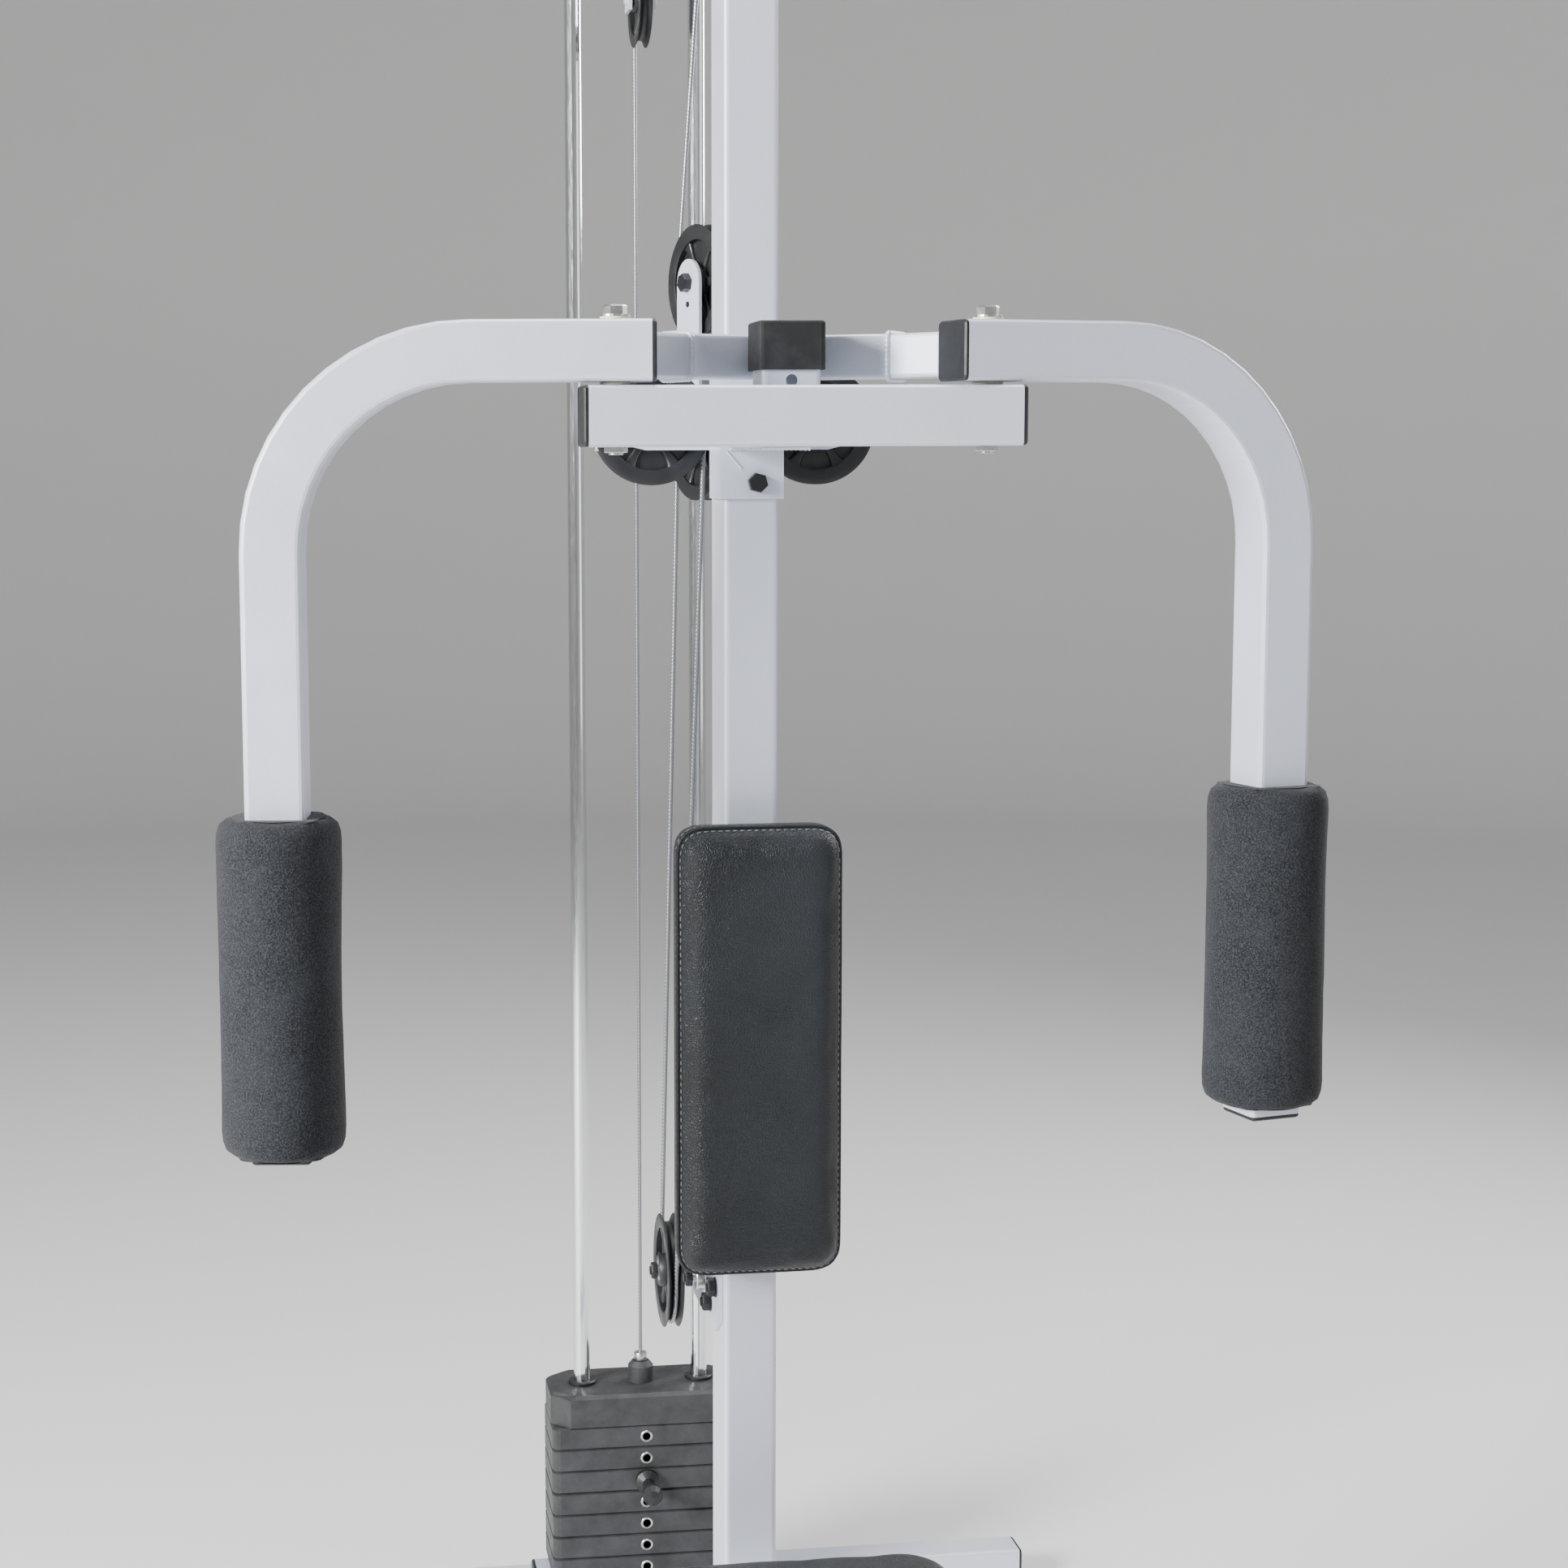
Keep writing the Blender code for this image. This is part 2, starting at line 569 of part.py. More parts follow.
def make_floating_block():
    """Two round-ended side plates joined by two axles, with a pulley on each axle."""
    along, square = block_directions()
    half, thickness = 0.0230, 0.0032
    rise = BLOCK_UPPER_Z - BLOCK_LOWER_Z
    outline = [(half * math.cos(math.radians(a)), half * math.sin(math.radians(a))) for a in range(180, 361, 15)]
    outline += [(half * math.cos(math.radians(a)), rise + half * math.sin(math.radians(a))) for a in range(0, 181, 15)]
    inner = PULLEY_WIDTH / 2 + 0.0010
    base = Vector((BLOCK_X, BLOCK_Y, BLOCK_LOWER_Z))
    for name, sign in (("block_front_plate", 1), ("block_rear_plate", -1)):
        plate = extruded(
            name,
            outline,
            lambda a, b, depth, sign=sign: base + along * a + Z * b + square * sign * (inner + depth),
            thickness,
            PAINT,
        )
        for z in (BLOCK_LOWER_Z, BLOCK_UPPER_Z):
            drill(plate, (BLOCK_X, BLOCK_Y, z), square, BORE_RADIUS, 0.06)
    for level, z in (("upper", BLOCK_UPPER_Z), ("lower", BLOCK_LOWER_Z)):
        centre = Vector((BLOCK_X, BLOCK_Y, z))
        pulley(f"block_{level}_pulley", centre, square)
        seat = centre + square * (inner + thickness + GAP)
        bolt(f"block_{level}_bolt", seat, square, BLACK_STEEL, 0.0160, 0.0075, AXLE_RADIUS, 0.036)


def make_hanger(name, x, y):
    """Fork under the top boom with a pulley's axle welded across it, and the pulley."""
    top = TOTAL_HEIGHT - TUBE - GAP
    inner, thickness = PULLEY_WIDTH / 2 + 0.0010, 0.0040
    outer = inner + thickness
    low, roof = BOOM_PULLEY_Z - 0.016, top - thickness
    outline = [(-outer, top), (-outer, low), (-inner, low), (-inner, roof), (inner, roof), (inner, low), (outer, low), (outer, top)]
    half = 0.018
    fork = extruded(f"{name}_hanger", outline, lambda a, b, depth: Vector((x + a, y - half + depth, b)), 2 * half, PAINT)
    reach = outer + 0.003
    axle = [(0, -reach), (0.0075, -reach), (0.0075, -inner - 0.001), (AXLE_RADIUS, -inner - 0.001)]
    axle += [(AXLE_RADIUS, inner + 0.001), (0.0075, inner + 0.001), (0.0075, reach), (0, reach)]
    join(fork, turned("cutter", axle, (x, y, BOOM_PULLEY_Z), X, PAINT))
    pulley(f"{name}_pulley", (x, y, BOOM_PULLEY_Z), X)


def make_stack():
    """Weight stack on two guide rods: the plates left behind, the plates lifted, their head and the selector pin."""
    foot_top = 2 * TUBE + GAP
    straight_tube("stack_foot", (-0.135, STACK_Y, foot_top - TUBE / 2), (0.135, STACK_Y, foot_top - TUBE / 2), Y)
    plate_top = TOTAL_HEIGHT - TUBE - GAP
    block("rod_top_plate", (-0.100, STACK_Y - 0.030, plate_top - 0.006), (0.100, STACK_Y + 0.030, plate_top), PAINT, 0.006)
    for side, sign in SIGN.items():
        rod = [(0, foot_top + GAP), (ROD_RADIUS, foot_top + GAP), (ROD_RADIUS, plate_top - 0.0063), (0, plate_top - 0.0063)]
        turned(f"{side}_guide_rod", rod, (sign * ROD_X, STACK_Y, 0), Z, CHROME)
    head, lifted, count = 0.040, 3, 7
    bottom = foot_top + GAP
    pitch = (STACK_TOP - head - bottom) / count
    seam = STACK_TOP - head - lifted * pitch
    slot_front = STACK_Y - 0.055
    for name, low, high in (("lower_plates", bottom, seam - GAP), ("lifted_plates", seam, STACK_TOP - head - GAP)):
        plates = round((high - low) / pitch)
        step = (high - low) / plates
        full, waist = rounded_rect(0.236, 0.110, 0.010), rounded_rect(0.230, 0.104, 0.008)
        stations = []
        for i in range(plates):
            z = low + i * step
            stations += [(waist, z), (full, z + 0.002), (full, z + step - 0.002), (waist, z + step - 0.0001)]
        rings = [section(profile, (0, STACK_Y, z), X, Y) for profile, z in stations]
        plate = loft(name, rings, IRON)
        for x, radius in ((-ROD_X, ROD_RADIUS + 0.0012), (ROD_X, ROD_RADIUS + 0.0012), (0, 0.0125)):
            drill(plate, (x, STACK_Y, (low + high) / 2), Z, radius, high - low + 0.02)
        if name == "lifted_plates":
            pin_z = low + pitch / 2
            drill(plate, (0, slot_front + 0.020, pin_z), Y, 0.0050, 0.060)
    top_outline = rounded_rect(0.236, 0.110, 0.012)
    stem = circle(0.0105)
    matched = resampled(top_outline, SIDES)
    soft = resampled(rounded_rect(0.226, 0.100, 0.010), SIDES)
    low = STACK_TOP - head
    neck, cap = circle(0.016), circle(0.011)
    stations = [(stem, bottom + 0.004), (stem, low), (matched, low), (matched, low + head - 0.004), (soft, low + head)]
    stations += [(neck, low + head), (neck, low + head + 0.020), (cap, low + head + 0.026)]
    rings = [section(profile, (0, STACK_Y, z), X, Y) for profile, z in stations]
    top = loft("stack_head", rings, IRON)
    for sign in (-1, 1):
        drill(top, (sign * ROD_X, STACK_Y, low + head / 2), Z, ROD_RADIUS + 0.0012, head + 0.02)
    drill(top, (0, slot_front + 0.042, pin_z), Y, 0.0050, 0.020)
    shank = [(0, -0.050), (0.0038, -0.048), (0.0040, 0), (0.0130, 0), (0.0150, 0.003), (0.0150, 0.010)]
    knob = [(0.0075, 0.016), (0.0070, 0.036), (0.0120, 0.044), (0.0130, 0.054), (0.0085, 0.062), (0, 0.064)]
    turned("selector_pin", shank + knob, (0, slot_front - GAP, pin_z), -Y, BLACK)


def resampled(outline, count):
    """Points of a closed outline at even angles about the origin, starting on +X."""
    points = []
    for i in range(count):
        a = 2 * math.pi * i / count
        d = Vector((math.cos(a), math.sin(a)))
        best = 0.0
        for p, q in zip(outline, outline[1:] + outline[:1]):
            p, q = Vector(p), Vector(q)
            e = q - p
            det = d.x * -e.y + d.y * e.x
            if abs(det) < 1e-12:
                continue
            t = (p.x * -e.y + p.y * e.x) / det
            u = (d.x * p.y - d.y * p.x) / det
            if t > 0 and -1e-9 <= u <= 1 + 1e-9:
                best = max(best, t)
        points.append((d.x * best, d.y * best))
    return points


def padded_box(name, low, high, radius, crown, spec):
    """Upholstered pad with a rolled edge, crowned towards -Y when it is upright or +Z when it lies flat."""
    low, high = Vector(low), Vector(high)
    size, centre = high - low, (low + high) / 2
    upright = size.y < size.z
    across, up = X, (Z if upright else Y)
    outward = -Y if upright else Z
    depth = size.y if upright else size.z
    width, height = size.x, (size.z if upright else size.y)
    base = centre - outward * (depth / 2)
    levels = [(0.003, 0.0), (0.0, 0.004), (0.0, depth - crown * 1.4), (0.003, depth - crown * 0.7), (0.010, depth - crown * 0.2), (0.022, depth)]
    rings = []
    for inset, level in levels:
        outline = rounded_rect(width - 2 * inset, height - 2 * inset, max(radius - inset * 0.5, 0.004), 4)
        rings.append(section(outline, base + outward * level, across, up))
    return loft(name, rings, spec)


def make_upholstery():
    """Back pad on its board, and seat pad on its post."""
    board_front = UPRIGHT_FRONT - 0.0080
    width, depth, height = BACK_PAD_SIZE
    low = BACK_PAD_TOP - height
    block("back_pad_board", (-width / 2 + 0.006, board_front, low + 0.006), (width / 2 - 0.006, UPRIGHT_FRONT - GAP, BACK_PAD_TOP - 0.006), BOARD, 0.001)
    front = board_front - GAP - depth
    padded_box("back_pad", (-width / 2, front, low), (width / 2, board_front - GAP, BACK_PAD_TOP), 0.022, 0.014, VINYL)
    seat_y = UPRIGHT_FRONT - 0.225
    seat_bottom = SEAT_TOP - 0.062
    post = straight_tube("seat_post", (0, seat_y, TUBE + GAP), (0, seat_y, seat_bottom - 0.0040), X)
    low, high = (-0.100, seat_y - 0.110, seat_bottom - 0.0060 - GAP), (0.100, seat_y + 0.110, seat_bottom - GAP)
    join(post, block("cutter", low, high, PAINT, 0.010))
    padded_box("seat_pad", (-0.180, seat_y - 0.165, seat_bottom), (0.180, seat_y + 0.165, SEAT_TOP), 0.045, 0.016, VINYL)


def make_low_pulley():
    """Bracket plate on the upright's left side with a stud for the low pulley, and the pulley."""
    face = -TUBE / 2 - GAP
    outline = [(0.012, 0.034), (0.012, -0.012), (0.040, -0.030), (0.165, -0.030), (0.175, -0.020), (0.175, 0.022), (0.163, 0.034)]
    plate = extruded(
        "low_bracket",
        outline,
        lambda a, b, depth: Vector((face - depth, UPRIGHT_FRONT + a, LOW_PULLEY.z + b)),
        0.0040,
        PAINT,
    )
    stud = [(0, 0.0005), (0.0090, 0.0005), (0.0090, 0.0210), (AXLE_RADIUS, 0.0210), (AXLE_RADIUS, 0.0450), (0, 0.0450)]
    join(plate, turned("cutter", stud, (face, LOW_PULLEY.y, LOW_PULLEY.z), -X, BLACK_STEEL))
    pulley("low_pulley", LOW_PULLEY, X)


def make_cables():
    """Stack cable over the boom and round the floating block, and pec cable under it."""
    along, _ = block_directions()
    upper, lower = Vector((BLOCK_X, BLOCK_Y, BLOCK_UPPER_Z)), Vector((BLOCK_X, BLOCK_Y, BLOCK_LOWER_Z))
    front_x = FRONT_BOOM_PULLEY.x
    route = [Vector((0, STACK_Y, STACK_TOP + 0.026 + GAP)), Vector((0, STACK_Y, BOOM_PULLEY_Z - 0.05))]
    route += wrap(REAR_BOOM_PULLEY, Y, Z, 0, 90)
    route += wrap(FRONT_BOOM_PULLEY, Y, Z, 90, 180)
    route += wrap(upper, along, Z, 0, -180)
    anchor = upper - along * GROOVE_RADIUS
    route += [Vector((anchor.x, anchor.y, TOTAL_HEIGHT - TUBE - 0.0006))]
    cable("stack_cable", route)
    end = Vector((-0.0420, UPRIGHT_FRONT + 0.050, LOW_PULLEY.z + 0.078))
    route = [end] + wrap(lower, along, Z, 180, 0)
    route += wrap(LOW_PULLEY, Y, Z, 0, -180)
    left = Vector((-PEC_PULLEY_X, PEC_PULLEY_Y, PEC_PULLEY_Z))
    route += wrap(left, X, Z, 0, 180)
    route += [left - X * GROOVE_RADIUS - Z * 0.010]
    cable("pec_cable", route)


def main():
    clear_scene()
    make_base()
    make_upright()
    make_forward_frame()
    for side in SIGN:
        make_arm(side)
    make_pec_pulleys()
    make_floating_block()
    make_hanger("front_boom", FRONT_BOOM_PULLEY.x, FRONT_BOOM_PULLEY.y)
    make_hanger("rear_boom", 0, REAR_BOOM_PULLEY.y)
    make_low_pulley()
    make_stack()
    make_upholstery()
    make_cables()


main()
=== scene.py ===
"""Visual model of the pec fly station: detail, materials, stage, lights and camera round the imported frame."""

import json
import math

import bmesh
import bpy
from mathutils import Matrix, Vector, noise
from mathutils.bvhtree import BVHTree


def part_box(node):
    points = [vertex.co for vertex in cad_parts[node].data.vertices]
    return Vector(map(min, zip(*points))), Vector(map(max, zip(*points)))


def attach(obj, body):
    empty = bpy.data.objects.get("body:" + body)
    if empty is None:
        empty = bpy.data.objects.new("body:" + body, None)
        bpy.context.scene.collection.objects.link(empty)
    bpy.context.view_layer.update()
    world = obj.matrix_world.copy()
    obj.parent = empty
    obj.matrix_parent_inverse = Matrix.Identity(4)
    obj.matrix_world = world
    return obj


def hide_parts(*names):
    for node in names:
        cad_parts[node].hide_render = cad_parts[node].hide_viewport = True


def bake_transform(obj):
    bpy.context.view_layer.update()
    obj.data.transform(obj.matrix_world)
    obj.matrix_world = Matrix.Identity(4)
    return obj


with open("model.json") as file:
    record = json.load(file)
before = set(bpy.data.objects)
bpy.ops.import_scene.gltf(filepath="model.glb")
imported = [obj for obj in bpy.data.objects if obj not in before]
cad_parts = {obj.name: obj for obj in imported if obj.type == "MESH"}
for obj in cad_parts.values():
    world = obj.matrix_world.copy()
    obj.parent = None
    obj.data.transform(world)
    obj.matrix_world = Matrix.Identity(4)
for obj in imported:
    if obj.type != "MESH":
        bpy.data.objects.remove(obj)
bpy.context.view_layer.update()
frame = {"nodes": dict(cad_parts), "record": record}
NODES = frame["nodes"]

X, Y, Z = Vector((1, 0, 0)), Vector((0, 1, 0)), Vector((0, 0, 1))
SIGN = {"left": -1, "right": 1}


def low(node):
    return Vector(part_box(node)[0])


def high(node):
    return Vector(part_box(node)[1])


def middle(node):
    return (low(node) + high(node)) / 2


def node_object(name):
    node = NODES[name]
    return node if isinstance(node, bpy.types.Object) else bpy.data.objects[name]


UPRIGHT_FRONT = low("upright").y
CROSS_TOP = high("cross_tube").z
CROSS_FRONT = low("cross_tube").y
TUBE = high("cross_tube").z - low("cross_tube").z
HALF_TUBE = TUBE / 2
BRACKET_FACE = -HALF_TUBE - 0.0046  # outer face of the low bracket, on the upright's left side
CABLE_RADIUS = 0.0023

# ---------------------------------------------------------------- materials

BLACK, WHITE = (0, 0, 0), (1, 1, 1)


def grey(value):
    return (value, value, value)


def scaled(colour, factor, lift=0.0):
    return [c * factor + lift for c in colour]


class Shader:
    """Small helper that adds and links nodes of one material."""

    def __init__(
        self, name, colour, roughness, metallic=0.0, specular=0.5, coat=0.0, coat_roughness=0.1, sheen=0.0
    ):
        self.material = bpy.data.materials.new(name)
        self.material.use_nodes = True
        self.nodes = self.material.node_tree.nodes
        self.links = self.material.node_tree.links
        self.out = self.nodes["Principled BSDF"]
        for socket, value in (
            ("Base Color", (*colour, 1)),
            ("Roughness", roughness),
            ("Metallic", metallic),
            ("Specular IOR Level", specular),
            ("Coat Weight", coat),
            ("Coat Roughness", coat_roughness),
            ("Sheen Weight", sheen),
        ):
            self.out.inputs[socket].default_value = value
        self.coordinates = self.nodes.new("ShaderNodeTexCoord").outputs["Object"]
        self.normal = None

    def texture(self, kind, scale, stretch=None):
        node = self.nodes.new(kind)
        source = self.coordinates
        if stretch:
            mapping = self.nodes.new("ShaderNodeMapping")
            mapping.inputs["Scale"].default_value = stretch
            self.links.new(source, mapping.inputs["Vector"])
            source = mapping.outputs["Vector"]
        self.links.new(source, node.inputs["Vector"])
        node.inputs["Scale"].default_value = scale
        return node

    def noise(self, scale, detail=3.0, roughness=0.55, stretch=None):
        node = self.texture("ShaderNodeTexNoise", scale, stretch)
        node.inputs["Detail"].default_value = detail
        node.inputs["Roughness"].default_value = roughness
        return node.outputs[0]

    def cells(self, scale, feature="F1"):
        node = self.texture("ShaderNodeTexVoronoi", scale)
        node.feature = feature
        return node.outputs[0]

    def ramp(self, source, stops):
        node = self.nodes.new("ShaderNodeValToRGB")
        ramp = node.color_ramp
        while len(ramp.elements) < len(stops):
            ramp.elements.new(0.5)
        for element, (place, colour) in zip(ramp.elements, stops):
            element.position = place
            element.color = (*colour, 1)
        self.links.new(source, node.inputs["Fac"])
        return node.outputs["Color"]

    def mix(self, factor, a, b):
        node = self.nodes.new("ShaderNodeMix")
        node.data_type = "RGBA"
        for socket, value in ((0, factor), (6, a), (7, b)):
            if isinstance(value, bpy.types.NodeSocket):
                self.links.new(value, node.inputs[socket])
            else:
                node.inputs[socket].default_value = (*value, 1)
        return node.outputs[2]

    def to(self, socket, source):
        self.links.new(source, self.out.inputs[socket])

    def spread(self, socket, source, lowest, highest):
        """Drives a socket from the middle part of a texture's range."""
        node = self.nodes.new("ShaderNodeMapRange")
        node.inputs["From Min"].default_value = 0.3
        node.inputs["From Max"].default_value = 0.7
        node.inputs["To Min"].default_value = lowest
        node.inputs["To Max"].default_value = highest
        self.links.new(source, node.inputs["Value"])
        self.to(socket, node.outputs["Result"])

    def bump(self, height, strength, distance):
        """Adds a bump on top of those already made."""
        node = self.nodes.new("ShaderNodeBump")
        node.inputs["Strength"].default_value = strength
        node.inputs["Distance"].default_value = distance
        self.links.new(height, node.inputs["Height"])
        if self.normal:
            self.links.new(self.normal, node.inputs["Normal"])
        self.normal = node.outputs["Normal"]
        self.to("Normal", self.normal)


def painted_steel(name, colour, dirt):
    """Silver powder coat: fine flake, orange peel, faint handling marks and dust."""
    shader = Shader(name, colour, 0.36, 0.25, 0.5, coat=0.25, coat_roughness=0.22)
    flake = shader.ramp(shader.cells(1500), ((0.0, scaled(colour, 1.10)), (0.9, scaled(colour, 0.93))))
    clouds = shader.ramp(shader.noise(3.5, 5), ((0.35, BLACK), (0.75, grey(0.35))))
    cooler = [c * k for c, k in zip(colour, (0.90, 0.91, 0.94))]
    tinted = shader.mix(clouds, flake, cooler)
    scuffs = shader.ramp(shader.noise(26, 6, 0.7, (1, 1, 0.25)), ((0.66, BLACK), (0.74, grey(0.45))))
    shader.to("Base Color", shader.mix(scuffs, tinted, dirt))
    shader.spread("Roughness", shader.noise(11, 6, 0.65), 0.28, 0.48)
    shader.bump(shader.noise(420, 2), 0.10, 0.0004)
    shader.bump(shader.noise(7, 3), 0.05, 0.003)
    return shader.material


def moulded_plastic(name, colour, roughness=0.42):
    """Moulded plastic with a fine spark-eroded texture."""
    shader = Shader(name, colour, roughness)
    shade = ((0.3, scaled(colour, 0.8)), (0.75, scaled(colour, 1.6, 0.004)))
    shader.to("Base Color", shader.ramp(shader.noise(14, 5), shade))
    shader.spread("Roughness", shader.noise(45, 4), roughness - 0.08, roughness + 0.14)
    shader.bump(shader.cells(1100), 0.18, 0.0003)
    return shader.material


def soft_rubber(name, colour):
    """Matt rubber with dust in its pores."""
    shader = Shader(name, colour, 0.72, specular=0.35)
    dust = ((0.45, colour), (0.8, scaled(colour, 2.2, 0.01)))
    shader.to("Base Color", shader.ramp(shader.noise(22, 6, 0.7), dust))
    shader.spread("Roughness", shader.noise(60, 4), 0.62, 0.85)
    shader.bump(shader.noise(700, 3), 0.35, 0.0005)
    return shader.material


def cell_foam(name, colour):
    """Closed-cell foam: tiny pores, light and dark speckle and paler worn patches."""
    shader = Shader(name, colour, 0.93, specular=0.2, sheen=0.06)
    grains = shader.noise(760, 2, 0.5)
    speckle = shader.ramp(grains, ((0.36, scaled(colour, 0.40)), (0.50, colour), (0.66, scaled(colour, 2.5))))
    patches = shader.ramp(shader.noise(16, 6, 0.7), ((0.4, BLACK), (0.8, grey(0.5))))
    shader.to("Base Color", shader.mix(patches, speckle, scaled(colour, 1.9, 0.01)))
    shader.bump(grains, 0.55, 0.0012)
    shader.bump(shader.noise(38, 5), 0.25, 0.003)
    return shader.material


def grained_vinyl(name, colour):
    """Upholstery vinyl: pebbled grain with faint creases and a soft shine."""
    shader = Shader(name, colour, 0.42, specular=0.40)
    grain = shader.cells(420, "DISTANCE_TO_EDGE")
    shade = ((0.3, scaled(colour, 0.8)), (0.8, scaled(colour, 1.5, 0.004)))
    shader.to("Base Color", shader.ramp(shader.noise(9, 5), shade))
    shader.spread("Roughness", shader.noise(30, 5), 0.34, 0.50)
    shader.bump(shader.ramp(grain, ((0.0, BLACK), (0.16, WHITE))), 0.45, 0.0007)
    shader.bump(shader.noise(55, 4, 0.5), 0.06, 0.0012)
    return shader.material


def bare_metal(name, colour, roughness, stretch=(1, 1, 1), scratch=0.08, metallic=1.0):
    """Plated or bare metal with fine streaks in its colour and gloss."""
    shader = Shader(name, colour, roughness, metallic)
    streaks = shader.noise(140, 6, 0.7, stretch)
    shader.to("Base Color", shader.ramp(streaks, ((0.3, scaled(colour, 0.82)), (0.7, scaled(colour, 1.06)))))
    shader.spread("Roughness", streaks, max(0.03, roughness - 0.05), roughness + 0.10)
    shader.bump(streaks, scratch, 0.0003)
    return shader.material


def cast_plate(name, colour):
    """Cast plate under thick black enamel."""
    shader = Shader(name, colour, 0.5)
    shade = ((0.35, colour), (0.8, scaled(colour, 2.0, 0.01)))
    shader.to("Base Color", shader.ramp(shader.noise(30, 6, 0.7), shade))
    shader.spread("Roughness", shader.noise(50, 4), 0.40, 0.62)
    shader.bump(shader.noise(180, 6, 0.7), 0.40, 0.0012)
    return shader.material


def stranded_cable(name, colour):
    """Cable under a clear sheath that shows its twisted strands."""
    shader = Shader(name, colour, 0.34, 0.55, coat=0.8, coat_roughness=0.12)
    wave = shader.texture("ShaderNodeTexWave", 330, (1, 1, 0.45))
    wave.bands_direction = "DIAGONAL"
    strands = wave.outputs[0]
    shader.to("Base Color", shader.ramp(strands, ((0.1, scaled(colour, 0.35)), (0.7, colour))))
    shader.bump(strands, 0.35, 0.0005)
    return shader.material


def fibreboard(name):
    """Black board with its fibres showing."""
    shader = Shader(name, grey(0.014), 0.8)
    fibre = shader.noise(220, 6, 0.7, (1, 1, 0.2))
    shader.to("Base Color", shader.ramp(fibre, ((0.3, grey(0.009)), (0.75, (0.022, 0.021, 0.020)))))
    shader.bump(fibre, 0.3, 0.0006)
    return shader.material


MATERIALS = {
    "painted_frame": painted_steel("silver_powder_coat", (0.655, 0.690, 0.785), (0.34, 0.36, 0.40)),
    "black_plastic": moulded_plastic("black_moulding", (0.0075, 0.008, 0.009)),
    "black_rubber": soft_rubber("stop_rubber", (0.012, 0.0125, 0.014)),
    "charcoal_foam": cell_foam("roller_foam", (0.0170, 0.0185, 0.0215)),
    "charcoal_vinyl": grained_vinyl("pad_vinyl", (0.0085, 0.0105, 0.0135)),
    "chrome": bare_metal("rod_chrome", (0.86, 0.87, 0.88), 0.08, (9, 9, 0.35), 0.03),
    "zinc": bare_metal("zinc_plate", (0.66, 0.66, 0.63), 0.30),
    "black_steel": bare_metal("black_oxide", (0.035, 0.035, 0.038), 0.38, metallic=0.7),
    "bronze_bush": bare_metal("cream_bush", (0.78, 0.69, 0.50), 0.5, metallic=0.0),
    "cast_iron": cast_plate("enamelled_plate", (0.020, 0.021, 0.023)),
    "board": fibreboard("pad_board"),
}
CABLE = stranded_cable("sheathed_cable", (0.30, 0.31, 0.33))
THREAD = moulded_plastic("pad_thread", (0.15, 0.155, 0.165), 0.6)
for part in frame["record"]["subparts"]:
    for place in node_object(part["node"]).material_slots:
        place.material = MATERIALS[part["material_slot"]]

# ---------------------------------------------------------------- mesh helpers


def finish_mesh(name, bm, material, angle=35.0):
    """Turns a bmesh into a linked object, smooth up to the given angle."""
    bmesh.ops.recalc_face_normals(bm, faces=bm.faces)
    mesh = bpy.data.meshes.new(name)
    bm.to_mesh(mesh)
    bm.free()
    mesh.shade_smooth()
    mesh.set_sharp_from_angle(angle=math.radians(angle))
    obj = bpy.data.objects.new(name, mesh)
    bpy.context.scene.collection.objects.link(obj)
    mesh.materials.append(material)
    return obj


def piece(obj, body, slot, *replaced):
    """Gives a piece its body and hides the CAD nodes that it stands for. Its slot is not used."""
    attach(obj, body)
    if replaced:
        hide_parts(*replaced)
    return obj


def basis(axis):
    """The unit axis and two directions square to it."""
    axis = Vector(axis).normalized()
    side = (Z if abs(axis.z) < 0.9 else X).cross(axis).normalized()
    return axis, side, axis.cross(side)


def on_circle(centre, first, second, radius, angle):
    return centre + first * (radius * math.cos(angle)) + second * (radius * math.sin(angle))


def bridge(bm, first, second):
    """Faces between two rings of equal count."""
    count = len(first)
    for i in range(count):
        j = (i + 1) % count
        bm.faces.new((first[i], first[j], second[j], second[i]))


def add_loft(bm, rings):
    """Skins rings of equal count and caps both ends."""
    for first, second in zip(rings, rings[1:]):
        bridge(bm, first, second)
    bm.faces.new(rings[0])
    bm.faces.new(rings[-1])


def loft_sections(name, sections, material):
    bm = bmesh.new()
    add_loft(bm, [[bm.verts.new(p) for p in section] for section in sections])
    return finish_mesh(name, bm, material)


def add_turned(bm, profile, centre, axis, sides=48, shape=None):
    """Adds a turned solid, where shape(angle, radius, height) may change the radius.

    The profile holds (radius, height) pairs. A radius of zero closes the solid on its axis, and a profile
    that is off the axis at both ends is closed into a ring.
    """
    axis, side, other = basis(axis)
    rings = []
    for radius, height in profile:
        level = Vector(centre) + axis * height
        if radius < 1e-6:
            rings.append([bm.verts.new(level)])
            continue
        ring = []
        for i in range(sides):
            angle = 2 * math.pi * i / sides
            reach = shape(angle, radius, height) if shape else radius
            ring.append(bm.verts.new(on_circle(level, side, other, reach, angle)))
        rings.append(ring)
    pairs = list(zip(rings, rings[1:]))
    if len(rings[0]) > 1 and len(rings[-1]) > 1:
        pairs.append((rings[-1], rings[0]))
    for first, second in pairs:
        for i in range(sides):
            j = (i + 1) % sides
            corners = [first[i % len(first)], first[j % len(first)]]
            corners += [second[j % len(second)], second[i % len(second)]]
            unique = list(dict.fromkeys(corners))
            if len(unique) > 2:
                bm.faces.new(unique)


def turned(name, profile, centre, axis, material, sides=48, shape=None):
    bm = bmesh.new()
    add_turned(bm, profile, centre, axis, sides, shape)
    return finish_mesh(name, bm, material)


def turned_piece(name, profile, centre, axis, slot, sides, body="root"):
    return piece(turned(name, profile, centre, axis, MATERIALS[slot], sides), body, slot)


